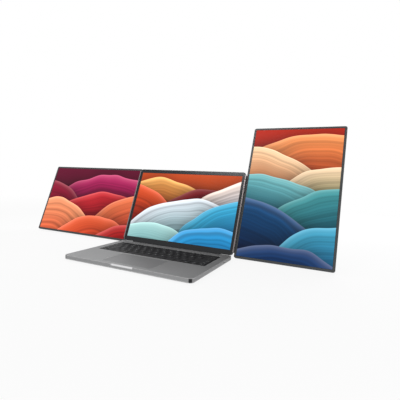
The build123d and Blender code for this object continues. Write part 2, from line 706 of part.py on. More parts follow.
def make_hinge_cover():
    half = HINGE_COVER_WIDTH / 2
    with BuildPart() as hinge_cover:
        span(lid_section, (-half, half), BARREL_RADIUS, (0, 0))
        web_back = LID_BACK + LID_BACK_WALL
        lid_bar((-half, half), (WEB_START, BARREL_RADIUS), (web_back, 0))
        lid_bar((-half, half), (BARREL_RADIUS, LID_START), (web_back, BEZEL_BACK))
    save(hinge_cover, "hinge_cover")


def bezel_plate(levels, mode=Mode.ADD):
    """The bezel's outline: inside the lid's rim, but down to the lid's lower edge."""
    size = (LID_WIDTH - 2 * LID_RIM, LID_HEIGHT - 2 * LID_RIM)
    plate(lid_plane, levels, size, LID_CORNER - LID_RIM, (0, LID_MIDDLE), mode)
    half = LID_WIDTH / 2 - LID_CORNER
    lid_bar((-half, half), (LID_START, LID_START + LID_CORNER), levels, mode)


def make_lid_shell():
    middle = (0, LID_MIDDLE)
    cavity = (LID_WIDTH - 2 * LID_SIDE_WALL, LID_HEIGHT - 2 * LID_SIDE_WALL)
    floor = LID_BACK + LID_BACK_WALL
    with BuildPart() as lid_shell:
        plate(lid_plane, (LID_BACK, LID_FRONT), (LID_WIDTH, LID_HEIGHT), LID_CORNER, middle)
        fillet(lid_shell.edges().group_by(forwards)[0], LID_BACK_ROUND)
        bezel_plate((BEZEL_BACK, LID_FRONT), Mode.SUBTRACT)
        cavity_corner = LID_CORNER - LID_SIDE_WALL
        plate(lid_plane, (floor, BEZEL_BACK), cavity, cavity_corner, middle, Mode.SUBTRACT)
        for side in SIDES.values():
            inner = side * (LEAF_INNER_X - PIN_GAP)
            outer = side * (LEAF_INNER_X + LEAF_WIDTH + PIN_GAP)
            leaf_back = floor + SEAT_GAP - PIN_GAP
            leaf_front = floor + SEAT_GAP + LEAF_THICKNESS + PIN_GAP
            wall = (LID_START, LID_START + LID_SIDE_WALL)
            lid_bar((inner, outer), wall, (leaf_back, leaf_front), Mode.SUBTRACT)
    save(lid_shell, "lid_shell")


def make_lid_bezel():
    middle = (0, SCREEN_MIDDLE)
    window = (LID_ACTIVE_WIDTH, LID_ACTIVE_HEIGHT)
    levels = (BEZEL_BACK, LID_FRONT)
    with BuildPart() as lid_bezel:
        bezel_plate(levels)
        plate(lid_plane, levels, window, centre=middle, mode=Mode.SUBTRACT)
        lens = CAMERA_LENS_RADIUS + PIN_GAP
        rod(lid_plane, levels, lens, [(0, camera_height())], Mode.SUBTRACT)
    save(lid_bezel, "lid_bezel")


def camera_height():
    """The camera sits midway between the picture and the lid's top edge."""
    return LID_END - LID_TOP_BORDER / 2


def make_lid_screen():
    middle = (0, SCREEN_MIDDLE)
    panel = (LID_ACTIVE_WIDTH + 2 * LID_PANEL_MARGIN, LID_ACTIVE_HEIGHT + 2 * LID_PANEL_MARGIN)
    active = (LID_ACTIVE_WIDTH, LID_ACTIVE_HEIGHT)
    with BuildPart() as lid_screen:
        plate(lid_plane, (BEZEL_BACK - LID_PANEL_THICKNESS, BEZEL_BACK), panel, centre=middle)
        plate(lid_plane, (BEZEL_BACK, LID_FRONT - SCREEN_RECESS), active, centre=middle)
    save(lid_screen, "lid_screen")


def make_webcam():
    height = camera_height()
    with BuildPart() as webcam:
        levels = (BEZEL_BACK - CAMERA_BOARD_THICKNESS, BEZEL_BACK)
        size = (CAMERA_BOARD_WIDTH, CAMERA_BOARD_HEIGHT)
        plate(lid_plane, levels, size, centre=(0, height))
        rod(lid_plane, (BEZEL_BACK, LID_FRONT - SCREEN_RECESS), CAMERA_LENS_RADIUS, [(0, height)])
    save(webcam, "webcam")


def arm_across(side, start, end):
    """Two places across the unit on the given side."""
    return (side * start, side * end)


def make_bracket_housing():
    middle = (0, BRACKET_MIDDLE)
    inner = (BRACKET_WIDTH - 2 * BRACKET_WALL, BRACKET_HEIGHT - 2 * BRACKET_WALL)
    screws = bracket_screw_places()
    with BuildPart() as bracket_housing:
        body = (BRACKET_BACK, BRACKET_BODY_FRONT)
        plate(lid_plane, body, (BRACKET_WIDTH, BRACKET_HEIGHT), BRACKET_CORNER, middle)
        fillet(bracket_housing.edges().group_by(forwards)[0], BRACKET_ROUND)
        hollow = (BRACKET_FLOOR, BRACKET_BODY_FRONT)
        hollow_corner = BRACKET_CORNER - BRACKET_WALL
        plate(lid_plane, hollow, inner, hollow_corner, middle, Mode.SUBTRACT)
        rod(lid_plane, hollow, BRACKET_BOSS_RADIUS, screws)
        hole = (BRACKET_BODY_FRONT - SCREW_LENGTH, BRACKET_BODY_FRONT)
        rod(lid_plane, hole, SCREW_SHANK_RADIUS + PIN_GAP, screws, Mode.SUBTRACT)
        across = (-BRACKET_WIDTH / 2, BRACKET_WIDTH / 2)
        window = (ARM_LOW - SLIDE_GAP, ARM_HIGH + SLIDE_GAP)
        levels = (BRACKET_FLOOR, ARM_FRONT + SLIDE_GAP)
        lid_bar(across, window, levels, Mode.SUBTRACT)
        for side in SIDES.values():
            lug = arm_across(side, kick_lug_start(), kick_lug_start() + KICK_LUG_WIDTH)
            span(lid_section, lug, KICK_LUG_RADIUS, (KICK_AXIS_UP, KICK_AXIS))
            foot = (KICK_AXIS_UP - KICK_LUG_RADIUS, KICK_AXIS_UP + KICK_LUG_RADIUS)
            lid_bar(lug, foot, (KICK_AXIS, BRACKET_BACK))
            bore = KICK_PIN_RADIUS + PIN_GAP
            span(lid_section, lug, bore, (KICK_AXIS_UP, KICK_AXIS), Mode.SUBTRACT)
    save(bracket_housing, "bracket_housing")


def bracket_screw_places():
    """Four screws at the corners of the bracket's cover."""
    across = BRACKET_WIDTH / 2 - BRACKET_SCREW_INSET
    along = BRACKET_HEIGHT / 2 - BRACKET_SCREW_INSET
    return four_corners(across, along, BRACKET_MIDDLE)


def make_bracket_cover():
    levels = (BRACKET_BODY_FRONT, BRACKET_FRONT)
    size = (BRACKET_WIDTH, BRACKET_HEIGHT)
    window = (ARM_LOW - SLIDE_GAP, ARM_HIGH + SLIDE_GAP)
    end = ARM_START + ARM_BOSS_LENGTH + ARM_TRAVEL + SLIDE_GAP
    with BuildPart() as bracket_cover:
        plate(lid_plane, levels, size, BRACKET_CORNER, (0, BRACKET_MIDDLE))
        for side in SIDES.values():
            across = arm_across(side, ARM_START - SLIDE_GAP, end)
            lid_bar(across, window, levels, Mode.SUBTRACT)
        shank = SCREW_SHANK_RADIUS + PIN_GAP
        rod(lid_plane, levels, shank, bracket_screw_places(), Mode.SUBTRACT)
    save(bracket_cover, "bracket_cover")


def make_bracket_screws():
    with BuildPart() as bracket_screws:
        add_screws(lid_plane, BRACKET_FRONT, 1, bracket_screw_places())
    save(bracket_screws, "bracket_screws")


def make_bracket_pads():
    rows = (BRACKET_LOW + PAD_INSET, BRACKET_HIGH - PAD_INSET)
    with BuildPart() as bracket_pads:
        for side in SIDES.values():
            for up in rows:
                centre = (side * PAD_X, up)
                size = (PAD_WIDTH, PAD_HEIGHT)
                plate(lid_plane, (BRACKET_FRONT, LID_BACK), size, PAD_CORNER, centre)
    save(bracket_pads, "bracket_pads")


def kick_lug_start():
    """The inner face of a kickstand lug, beside the leg's barrel."""
    return KICK_BARREL_HALF + SLIDE_GAP


def kick_plane():
    """The open leg's plane: X across, Y up along the leg, origin on its hinge axis."""
    lean = radians(KICK_LEAN)
    origin = lid_point(0, KICK_AXIS_UP, KICK_AXIS)
    return Plane(origin=origin, x_dir=ACROSS, z_dir=(0, -cos(lean), -sin(lean)))


def kick_leg_length():
    """The leg reaches the desk at the lid's rest angle."""
    axis_height = lid_point(0, KICK_AXIS_UP, KICK_AXIS).Z
    return (axis_height - KICK_FOOT_RADIUS) / cos(radians(KICK_LEAN))


def make_kickstand_pin():
    half = kick_lug_start() + KICK_LUG_WIDTH
    with BuildPart() as kickstand_pin:
        span(lid_section, (-half, half), KICK_PIN_RADIUS, (KICK_AXIS_UP, KICK_AXIS))
    save(kickstand_pin, "kickstand_pin")


def make_kickstand_leg():
    plane = kick_plane()
    length = kick_leg_length()
    half = KICK_LEG_THICKNESS / 2
    levels = (-half, half)
    wide = (-KICK_LEG_HALF, KICK_LEG_HALF)
    barrel = (-KICK_BARREL_HALF, KICK_BARREL_HALF)
    with BuildPart() as kickstand_leg:
        block(plane, wide, (-length, -KICK_SHOULDER), levels)
        block(plane, barrel, (-KICK_SHOULDER, 0), levels)
        span(lid_section, barrel, KICK_BARREL_RADIUS, (KICK_AXIS_UP, KICK_AXIS))
        bore = KICK_PIN_RADIUS + PIN_GAP
        span(lid_section, barrel, bore, (KICK_AXIS_UP, KICK_AXIS), Mode.SUBTRACT)
    save(kickstand_leg, "kickstand_leg")


def make_kickstand_foot():
    plane = kick_plane()
    length = kick_leg_length()
    half = KICK_LEG_THICKNESS / 2
    wide = (-KICK_LEG_HALF, KICK_LEG_HALF)
    section = Plane(origin=plane.origin, x_dir=plane.y_dir, z_dir=ACROSS)
    with BuildPart() as kickstand_foot:
        across = (-KICK_LEG_HALF, KICK_LEG_HALF)
        rod(section, across, KICK_FOOT_RADIUS, [(-length, 0)])
        above = -length + KICK_FOOT_RADIUS
        block(plane, wide, (-length, above), (-half, half), Mode.SUBTRACT)
    save(kickstand_foot, "kickstand_foot")


def make_slide_arm(side, word):
    bar = arm_across(side, ARM_START, SWING_AXIS_X)
    boss = arm_across(side, ARM_START, ARM_START + ARM_BOSS_LENGTH)
    arm = (ARM_LOW, ARM_HIGH)
    axis = (side * SWING_AXIS_X, -SWING_AXIS)
    with BuildPart() as slide_arm:
        lid_bar(bar, arm, (ARM_BACK, ARM_FRONT))
        lid_bar(boss, arm, (ARM_FRONT, STRAP_BACK))
        rod(swing_section(ARM_LOW), (0, 2 * ARM_HALF_WIDTH), KNUCKLE_RADIUS, [axis])
        gap = KNUCKLE_RADIUS + SLIDE_GAP
        gap_across = arm_across(side, SWING_AXIS_X - gap, SWING_AXIS_X + gap)
        gap_up = (PIVOT_UP - KNUCKLE_GAP_HALF, PIVOT_UP + KNUCKLE_GAP_HALF)
        gap_levels = (SWING_AXIS - gap, SWING_AXIS + gap)
        lid_bar(gap_across, gap_up, gap_levels, Mode.SUBTRACT)
        bore = SWING_PIN_RADIUS + PIN_GAP
        rod(swing_section(ARM_LOW), (0, 2 * ARM_HALF_WIDTH), bore, [axis], Mode.SUBTRACT)
    save(slide_arm, f"{word}_slide_arm")


def make_swing_pin(side, word):
    axis = (side * SWING_AXIS_X, -SWING_AXIS)
    with BuildPart() as swing_pin:
        rod(swing_section(ARM_LOW), (0, 2 * ARM_HALF_WIDTH), SWING_PIN_RADIUS, [axis])
    save(swing_pin, f"{word}_swing_pin")


def make_clamp_rail(side, word):
    low = LID_START + LID_CORNER + CLAMP_PAD
    high = LID_END - LID_CORNER - CLAMP_PAD
    rail = (low, high)
    lip_back = LID_FRONT + LIP_GAP
    with BuildPart() as clamp_rail:
        strap = arm_across(side, ARM_START, RAIL_OUTER)
        lid_bar(strap, (ARM_LOW, ARM_HIGH), (STRAP_BACK, STRAP_FRONT))
        back_lip = arm_across(side, LID_WIDTH / 2 - RAIL_BACK_REACH, RAIL_OUTER)
        lid_bar(back_lip, rail, (STRAP_BACK, STRAP_FRONT))
        wall = arm_across(side, RAIL_INNER, RAIL_OUTER)
        lid_bar(wall, rail, (STRAP_BACK, lip_back + RAIL_LIP))
        front_lip = arm_across(side, LID_WIDTH / 2 - RAIL_OVERLAP, RAIL_OUTER)
        lid_bar(front_lip, rail, (lip_back, lip_back + RAIL_LIP))
    save(clamp_rail, f"{word}_clamp_rail")


def make_clamp_pad(side, word):
    low = LID_START + LID_CORNER + 2 * CLAMP_PAD
    high = LID_END - LID_CORNER - 2 * CLAMP_PAD
    with BuildPart() as clamp_pad:
        across = arm_across(side, LID_WIDTH / 2, RAIL_INNER)
        lid_bar(across, (low, high), (LID_BACK + LID_BACK_ROUND, LID_FRONT))
    save(clamp_pad, f"{word}_clamp_pad")


def make_swing_arm(side, word):
    axis = (side * SWING_AXIS_X, -SWING_AXIS)
    knuckle_half = KNUCKLE_GAP_HALF - SLIDE_GAP
    knuckle = (PIVOT_UP - knuckle_half, PIVOT_UP + knuckle_half)
    levels = (SWING_ARM_BACK, SWING_ARM_FRONT)
    bar_start = SWING_AXIS_X + KNUCKLE_RADIUS + 2 * SLIDE_GAP
    pivot = (side * PIVOT_X, PIVOT_UP)
    with BuildPart() as swing_arm:
        rod(swing_section(knuckle[0]), (0, 2 * knuckle_half), KNUCKLE_RADIUS, [axis])
        lid_bar(arm_across(side, SWING_AXIS_X, bar_start), knuckle, levels)
        bar = (PIVOT_UP - SWING_ARM_HALF_WIDTH, PIVOT_UP + SWING_ARM_HALF_WIDTH)
        lid_bar(arm_across(side, bar_start, PIVOT_X), bar, levels)
        rod(lid_plane, levels, SWING_ARM_END_RADIUS, [pivot])
        rod(lid_plane, levels, SHAFT_RADIUS + PIN_GAP, [pivot], Mode.SUBTRACT)
        bore = SWING_PIN_RADIUS + PIN_GAP
        rod(swing_section(knuckle[0]), (0, 2 * knuckle_half), bore, [axis], Mode.SUBTRACT)
    save(swing_arm, f"{word}_swing_arm")


def make_turntable(side, word):
    plane = monitor_plane(side)
    with BuildPart() as turntable:
        rod(plane, (TURNTABLE_BACK, MONITOR_BACK), TURNTABLE_RADIUS)
        rod(plane, (CAP_FRONT, TURNTABLE_BACK), SHAFT_RADIUS)
    save(turntable, f"{word}_turntable")
    with BuildPart() as turntable_cap:
        rod(plane, (CAP_FRONT - CAP_THICKNESS, CAP_FRONT), CAP_RADIUS)
    save(turntable_cap, f"{word}_turntable_cap")


def monitor_centre():
    """The middle of a monitor's outline in its own plane."""
    return ((MONITOR_LONG - MONITOR_SHORT) / 2, 0)


def edge_level():
    """The level of the sockets and buttons, midway between the panel and the back wall."""
    return (FRAME_BACK - PANEL_THICKNESS + MONITOR_FLOOR) / 2


def socket_places(side):
    """Three sockets in a row towards the monitor's lower edge when it lies across."""
    places = []
    for number in range(3):
        along = MONITOR_SOCKET_OFFSET + number * MONITOR_SOCKET_PITCH
        places.append((-side * along, edge_level()))
    return places


def button_place(side, distance):
    """A button's place towards the monitor's upper edge when it lies across."""
    return (side * distance, edge_level())


def make_monitor_back(side, word):
    plane = monitor_plane(side)
    edge = monitor_edge_section(side)
    wall_cut = (-MONITOR_WALL, 0)
    inner = (MONITOR_LONG - 2 * MONITOR_WALL, MONITOR_SHORT - 2 * MONITOR_WALL)
    outer = (MONITOR_LONG, MONITOR_SHORT)
    with BuildPart() as monitor_back:
        plate(plane, (MONITOR_BACK, FRAME_BACK), outer, MONITOR_CORNER, monitor_centre())
        fillet(monitor_back.edges().group_by(forwards)[0], MONITOR_BACK_ROUND)
        hollow = (MONITOR_FLOOR, FRAME_BACK)
        hollow_corner = MONITOR_CORNER - MONITOR_WALL
        plate(plane, hollow, inner, hollow_corner, monitor_centre(), Mode.SUBTRACT)
        widths = (VIDEO_SOCKET_WIDTH, SOCKET_WIDTH, SOCKET_WIDTH)
        for place, width in zip(socket_places(side), widths):
            hole = (width + 2 * SOCKET_GAP, SOCKET_HEIGHT + 2 * SOCKET_GAP)
            slot(edge, wall_cut, *hole, [place], Mode.SUBTRACT)
        buttons = (
            (POWER_BUTTON_LENGTH, POWER_BUTTON_PLACE),
            (MENU_BUTTON_LENGTH, MENU_BUTTON_PLACE),
        )
        for length, distance in buttons:
            hole = (length + SLIDE_GAP, BUTTON_HEIGHT + SLIDE_GAP)
            slot(edge, wall_cut, *hole, [button_place(side, distance)], Mode.SUBTRACT)
    save(monitor_back, f"{word}_monitor_back")


def make_monitor_frame(side, word):
    plane = monitor_plane(side)
    levels = (FRAME_BACK, MONITOR_FRONT)
    outer = (MONITOR_LONG, MONITOR_SHORT)
    window = (MONITOR_ACTIVE_LONG, MONITOR_ACTIVE_SHORT)
    with BuildPart() as monitor_frame:
        plate(plane, levels, outer, MONITOR_CORNER, monitor_centre())
        chamfer(monitor_frame.edges().group_by(forwards)[-1], MONITOR_FRONT_CHAMFER)
        plate(plane, levels, window, centre=monitor_centre(), mode=Mode.SUBTRACT)
    save(monitor_frame, f"{word}_monitor_frame")


def make_monitor_screen(side, word):
    plane = monitor_plane(side)
    long_side = MONITOR_ACTIVE_LONG + 2 * PANEL_MARGIN
    short_side = MONITOR_ACTIVE_SHORT + 2 * PANEL_MARGIN
    active = (MONITOR_ACTIVE_LONG, MONITOR_ACTIVE_SHORT)
    centre = monitor_centre()
    with BuildPart() as monitor_screen:
        panel = (FRAME_BACK - PANEL_THICKNESS, FRAME_BACK)
        plate(plane, panel, (long_side, short_side), centre=centre)
        plate(plane, (FRAME_BACK, MONITOR_FRONT - SCREEN_RECESS), active, centre=centre)
    save(monitor_screen, f"{word}_monitor_screen")


def make_driver_board(side, word):
    plane = monitor_plane(side)
    board = (MONITOR_FLOOR, MONITOR_FLOOR + DRIVER_THICKNESS)
    chip = (board[1], board[1] + DRIVER_THICKNESS)
    centre = (DRIVER_FROM_PIVOT, -side * MONITOR_SOCKET_OFFSET)
    with BuildPart() as driver_board:
        plate(plane, board, (DRIVER_LONG, DRIVER_SHORT), centre=centre)
        plate(plane, chip, (CHIP_SIZE, CHIP_SIZE), centre=centre)
    save(driver_board, f"{word}_driver_board")


def make_monitor_sockets(side, word):
    edge = monitor_edge_section(side)
    widths = (VIDEO_SOCKET_WIDTH, SOCKET_WIDTH, SOCKET_WIDTH)
    with BuildPart() as monitor_sockets:
        for place, width in zip(socket_places(side), widths):
            add_socket(edge, (-SOCKET_DEPTH, 0), width, place)
    save(monitor_sockets, f"{word}_monitor_sockets")


def make_button(side, name, length, distance):
    edge = monitor_edge_section(side)
    place = button_place(side, distance)
    flange_outer = -MONITOR_WALL - SLIDE_GAP / 2
    with BuildPart() as button:
        slot(edge, (flange_outer, BUTTON_PROUD), length, BUTTON_HEIGHT, [place])
        flange = (length + 2 * BUTTON_FLANGE, BUTTON_HEIGHT + BUTTON_FLANGE)
        plate(edge, (flange_outer - BUTTON_FLANGE, flange_outer), flange, centre=place)
    save(button, name)


def make_monitor(side, word):
    make_monitor_back(side, word)
    make_monitor_frame(side, word)
    make_monitor_screen(side, word)
    make_driver_board(side, word)
    make_monitor_sockets(side, word)
    make_button(side, f"{word}_power_button", POWER_BUTTON_LENGTH, POWER_BUTTON_PLACE)
    make_button(side, f"{word}_menu_button", MENU_BUTTON_LENGTH, MENU_BUTTON_PLACE)
    make_turntable(side, word)


def make_base():
    make_top_case()
    make_bottom_cover()
    make_case_screws()
    make_rubber_feet()
    make_keyboard_tray()
    make_keyboard()
    make_trackpad()
    make_mainboard()
    make_battery_cells()
    make_base_speakers()
    make_base_sockets()
    make_hinge_mounts()


def make_lid():
    make_hinge_leaves()
    make_hinge_cover()
    make_lid_shell()
    make_lid_bezel()
    make_lid_screen()
    make_webcam()


def make_bracket():
    make_bracket_housing()
    make_bracket_cover()
    make_bracket_screws()
    make_bracket_pads()
    make_kickstand_pin()
    make_kickstand_leg()
    make_kickstand_foot()


def make_carrier(side, word):
    make_slide_arm(side, word)
    make_swing_pin(side, word)
    make_clamp_rail(side, word)
    make_clamp_pad(side, word)
    make_swing_arm(side, word)


make_base()
make_lid()
make_bracket()
for side_word, side_sign in SIDES.items():
    make_carrier(side_sign, side_word)
    make_monitor(side_sign, side_word)
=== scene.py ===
# %% [markdown]
# # A three-screen portable computer
# The real object is a thin aluminium clamshell computer. A bracket behind its lid holds a 16 inch monitor on
# each side: the left one lies across, the right one stands upright. The CAD frame already holds every solid
# part in its real place. This lesson keeps those places and gives each part the shape details and the finish
# that the eye expects: soft edges, dished keys with legends, lit pictures, satin metal, grained plastic.

import json
import math

import bmesh
import bpy
from mathutils import Matrix, Vector

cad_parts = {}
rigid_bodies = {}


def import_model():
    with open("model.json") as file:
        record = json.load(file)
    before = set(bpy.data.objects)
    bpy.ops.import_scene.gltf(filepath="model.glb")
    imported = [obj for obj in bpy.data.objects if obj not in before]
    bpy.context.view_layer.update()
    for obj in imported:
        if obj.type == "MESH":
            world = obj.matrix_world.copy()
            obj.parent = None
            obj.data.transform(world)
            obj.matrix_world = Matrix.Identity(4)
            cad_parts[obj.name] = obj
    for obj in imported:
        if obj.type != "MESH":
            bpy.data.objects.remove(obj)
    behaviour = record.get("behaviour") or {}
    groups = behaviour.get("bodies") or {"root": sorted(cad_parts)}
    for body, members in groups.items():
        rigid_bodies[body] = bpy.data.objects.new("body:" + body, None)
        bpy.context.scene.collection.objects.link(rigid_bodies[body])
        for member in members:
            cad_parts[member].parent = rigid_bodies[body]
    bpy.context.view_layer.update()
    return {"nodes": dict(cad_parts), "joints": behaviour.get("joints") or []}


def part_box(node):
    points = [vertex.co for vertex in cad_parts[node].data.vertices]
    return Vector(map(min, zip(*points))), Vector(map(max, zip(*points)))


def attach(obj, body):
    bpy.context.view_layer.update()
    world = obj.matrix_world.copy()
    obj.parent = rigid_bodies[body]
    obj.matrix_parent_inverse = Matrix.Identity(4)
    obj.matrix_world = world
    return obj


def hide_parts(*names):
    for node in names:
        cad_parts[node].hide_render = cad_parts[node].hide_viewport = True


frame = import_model()

# %% [markdown]
# ## Units and the lean of the lid
# Blender counts in metres and a maker in millimetres, so small lengths are written in millimetres and scaled
# where they are used. The lid leans back, and all three screens lean with it. The left monitor swings about
# an axis that runs straight up the lid, so the lean is read from that joint and follows the CAD if it changes.

# %% Units and lean
MM = 0.001
swing_axis = next(joint["axis"] for joint in frame["joints"] if joint["name"] == "left_swing")
LID_LEAN = math.atan2(swing_axis[1], swing_axis[2])
print("the lid leans back", round(math.degrees(LID_LEAN), 2), "degrees")

# %% [markdown]
# ## The camera
# The photograph was taken from the user's right, a little above the desk, with a short lens. The two side
# monitors have a known real size, so their corners in the picture fix the camera: where it stands, where it
# looks and how long its lens is. Setting the camera first lets every later piece be judged against the photo.

# %% Camera
CAMERA_PLACE = Vector((0.48513, -0.75987, 0.20166))
CAMERA_TURN = 0.48474
CAMERA_DROP = 0.06916
CAMERA_ROLL = 0.03767
FRAME_PIXELS = 400.0
FOCAL_PIXELS = 345.79
LENS_MIDDLE = (174.64, 198.71)
SENSOR = 36.0
NEAREST_SEEN = 0.01


def placed(name, data):
    """A new object that holds the data, linked into the scene."""
    made = bpy.data.objects.new(name, data)
    bpy.context.scene.collection.objects.link(made)
    return made


def make_camera():
    """The photograph's camera, turned by its compass angle, its drop and its roll."""
    ahead = Vector(
        (
            -math.sin(CAMERA_TURN) * math.cos(CAMERA_DROP),
            math.cos(CAMERA_TURN) * math.cos(CAMERA_DROP),
            -math.sin(CAMERA_DROP),
        )
    )
    level_right = ahead.cross(Vector((0.0, 0.0, 1.0))).normalized()
    level_up = level_right.cross(ahead)
    right = level_right * math.cos(CAMERA_ROLL) + level_up * math.sin(CAMERA_ROLL)
    up = level_up * math.cos(CAMERA_ROLL) - level_right * math.sin(CAMERA_ROLL)
    data = bpy.data.cameras.new("photo_camera")
    data.sensor_width = SENSOR
    data.lens = FOCAL_PIXELS / FRAME_PIXELS * SENSOR
    data.shift_x = (FRAME_PIXELS / 2 - LENS_MIDDLE[0]) / FRAME_PIXELS
    data.shift_y = (LENS_MIDDLE[1] - FRAME_PIXELS / 2) / FRAME_PIXELS
    data.clip_start = NEAREST_SEEN
    camera = placed("photo_camera", data)
    turned = Matrix((right, up, -ahead)).transposed().to_4x4()
    camera.matrix_world = Matrix.Translation(CAMERA_PLACE) @ turned
    return camera


bpy.context.scene.camera = make_camera()
print("lens", round(bpy.context.scene.camera.data.lens, 2), "mm")

# %% [markdown]
# ## Building nodes with few words
# A material is a graph of nodes, and writing every node and link out in full hides what the graph does. A few
# small helpers keep the lesson readable: each adds one node and fills its inputs, either with a plain value or
# with a link from another node. Inputs go by their name, or by their place where several share a name.

# %% Node helpers
def fill(tree, socket, value):
    """Links another node's output into a socket, or sets the socket's own value."""
    if isinstance(value, bpy.types.NodeSocket):
        tree.links.new(value, socket)
    else:
        socket.default_value = value


def add_node(tree, kind, inputs=None, **settings):
    """Adds a node, sets its properties, and fills its inputs."""
    node = tree.nodes.new(kind)
    for key, value in settings.items():
        setattr(node, key, value)
    for place, value in (inputs or {}).items():
        fill(tree, node.inputs[place], value)
    return node


def maths(tree, operation, first, second=0.5, third=0.5, clamp=False):
    """One Math node, which gives its result socket."""
    numbers = {0: first, 1: second, 2: third}
    return add_node(tree, "ShaderNodeMath", numbers, operation=operation, use_clamp=clamp).outputs[0]


def vector_maths(tree, operation, inputs, result="Vector"):
    """One Vector Math node, which gives the named result socket."""
    return add_node(tree, "ShaderNodeVectorMath", inputs, operation=operation).outputs[result]


def scaled(tree, vector, factor):
    """A vector or colour times a number."""
    return vector_maths(tree, "SCALE", {0: vector, "Scale": factor})


def mixed_colour(tree, share, first, second):
    """A colour Mix node. Its inputs sit at places 0, 6 and 7 among the node's sockets."""
    colours = {0: share, 6: first, 7: second}
    return add_node(tree, "ShaderNodeMix", colours, data_type="RGBA").outputs[2]


def smooth_range(tree, value, start, end, low=0.0, high=1.0):
    """Goes softly from low to high while the value goes from start to end."""
    limits = {"Value": value, "From Min": start, "From Max": end, "To Min": low, "To Max": high}
    node = add_node(tree, "ShaderNodeMapRange", limits, interpolation_type="SMOOTHSTEP")
    return node.outputs["Result"]


def object_place(tree):
    """Where a point lies, in the object's own metres."""
    return add_node(tree, "ShaderNodeTexCoord").outputs["Object"]


def noise(tree, place, scale, detail):
    """Noise in space, from 0 to 1."""
    inputs = {"Vector": place, "Scale": scale, "Detail": detail}
    return add_node(tree, "ShaderNodeTexNoise", inputs).outputs["Fac"]


def centred(tree, value):
    """Spreads a value of 0 to 1 out to run from -1 to 1."""
    return maths(tree, "MULTIPLY_ADD", value, 2.0, -1.0)


def colour(red, green, blue):
    """A screen colour of 0 to 255 a channel, as the linear colour that the nodes use."""
    def linear(value):
        share = value / 255.0
        return share / 12.92 if share <= 0.04045 else ((share + 0.055) / 1.055) ** 2.4

    return (linear(red), linear(green), linear(blue), 1.0)


print("mid grey is", round(colour(128, 128, 128)[0], 3), "in linear light")

# %% [markdown]
# ## Node groups
# A node group is a small graph with named inputs and outputs that many materials can share. It is worth making
# when several finishes use one effect, because each use then only sets its own values. The first function
# opens a group and lists its sockets, the second closes it, and the third places it in a material.

# %% Group helpers
PLAIN_GREY = (0.5, 0.5, 0.5, 1.0)
WHITE = (1.0, 1.0, 1.0, 1.0)


def start_group(name, inputs, outputs):
    """A group with named Float, Color and Vector sockets: gives its tree and what comes in."""
    tree = bpy.data.node_groups.new(name, "ShaderNodeTree")
    for label, kind, value in inputs:
        socket = tree.interface.new_socket(label, in_out="INPUT", socket_type="NodeSocket" + kind)
        socket.default_value = value
    for label, kind in outputs:
        tree.interface.new_socket(label, in_out="OUTPUT", socket_type="NodeSocket" + kind)
    return tree, tree.nodes.new("NodeGroupInput").outputs


def end_group(tree, results):
    """Links the results to the group's named outputs."""
    add_node(tree, "NodeGroupOutput", results)
    return tree


def use_group(tree, group, inputs):
    """Places a node group in a material, fills its inputs and gives its outputs."""
    return add_node(tree, "ShaderNodeGroup", inputs, node_tree=group).outputs


print("node groups so far", len(bpy.data.node_groups))

# %% [markdown]
# ## Grain
# Blasted aluminium and moulded plastic both look plain from afar and finely speckled close up. One group makes
# that speckle from noise measured in the object's own metres, so the grain has a real size on every part. It
# gives a shade to multiply the colour by, and a height for the bump. A slow second noise adds the faint
# patchiness that real parts pick up from handling.

# %% Grain group
PATCHES_PER_METRE = 14.0


def make_grain_group():
    tree, given = start_group(
        "surface grain",
        [("Grains Per Metre", "Float", 2500.0), ("Speckle", "Float", 0.05), ("Patchiness", "Float", 0.04)],
        [("Shade", "Float"), ("Height", "Float"), ("Patch", "Float")],
    )
    place = object_place(tree)
    fine = noise(tree, place, given["Grains Per Metre"], 2.0)
    slow = noise(tree, place, PATCHES_PER_METRE, 3.0)
    speckle = maths(tree, "MULTIPLY_ADD", centred(tree, fine), given["Speckle"], 1.0)
    shade = maths(tree, "MULTIPLY_ADD", centred(tree, slow), given["Patchiness"], speckle)
    return end_group(tree, {"Shade": shade, "Height": fine, "Patch": slow})


grain_group = make_grain_group()
print("made", grain_group.name)

# %% [markdown]
# ## Bright edges
# Machined and anodised edges wear a little paler than the faces beside them, and the group also paints in the
# light that such edges catch, so the pale line is part wear and part painted highlight. A Bevel node bends the
# surface direction near an edge, so comparing it with the true direction finds the edges of any part, whatever
# its mesh. Noise breaks the line up so that it does not look drawn on.

# %% Edge group
BEND_GAIN = 9.0
BREAKS_PER_METRE = 45.0
BREAK_SHARE = 0.6
LEAST_LINE = 0.55
BEVEL_RAYS = 4


# Paints a pale line along edges into the colour: part wear, part painted highlight.
def make_wear_and_highlight_group():
    tree, given = start_group(
        "edge wear",
        [
            ("Colour", "Color", PLAIN_GREY),
            ("Worn Colour", "Color", WHITE),
            ("Width", "Float", 0.0004),
            ("Amount", "Float", 0.5),
        ],
        [("Colour", "Color")],
    )
    bevel = add_node(tree, "ShaderNodeBevel", {"Radius": given["Width"]}, samples=BEVEL_RAYS)
    true_side = add_node(tree, "ShaderNodeNewGeometry").outputs["Normal"]
    same = vector_maths(tree, "DOT_PRODUCT", {0: bevel.outputs["Normal"], 1: true_side}, "Value")
    bent = maths(tree, "SUBTRACT", 1.0, same)
    line = maths(tree, "MULTIPLY", bent, BEND_GAIN, clamp=True)
    breaks = noise(tree, object_place(tree), BREAKS_PER_METRE, 2.0)
    uneven = maths(tree, "MULTIPLY_ADD", breaks, BREAK_SHARE, LEAST_LINE)
    mask = maths(tree, "MULTIPLY", line, uneven, clamp=True)
    share = maths(tree, "MULTIPLY", mask, given["Amount"], clamp=True)
    return end_group(tree, {"Colour": mixed_colour(tree, share, given["Colour"], given["Worn Colour"])})


wear_and_highlight_group = make_wear_and_highlight_group()
print("made", wear_and_highlight_group.name)

# %% [markdown]
# ## Brushed lines
# Steel pins, hinge leaves and the slide arms keep the fine parallel scratches of brushing. Stretching noise a
# long way in one direction and hardly at all in the others gives exactly that. The stretch is an input, so
# each part can be brushed along its own length.

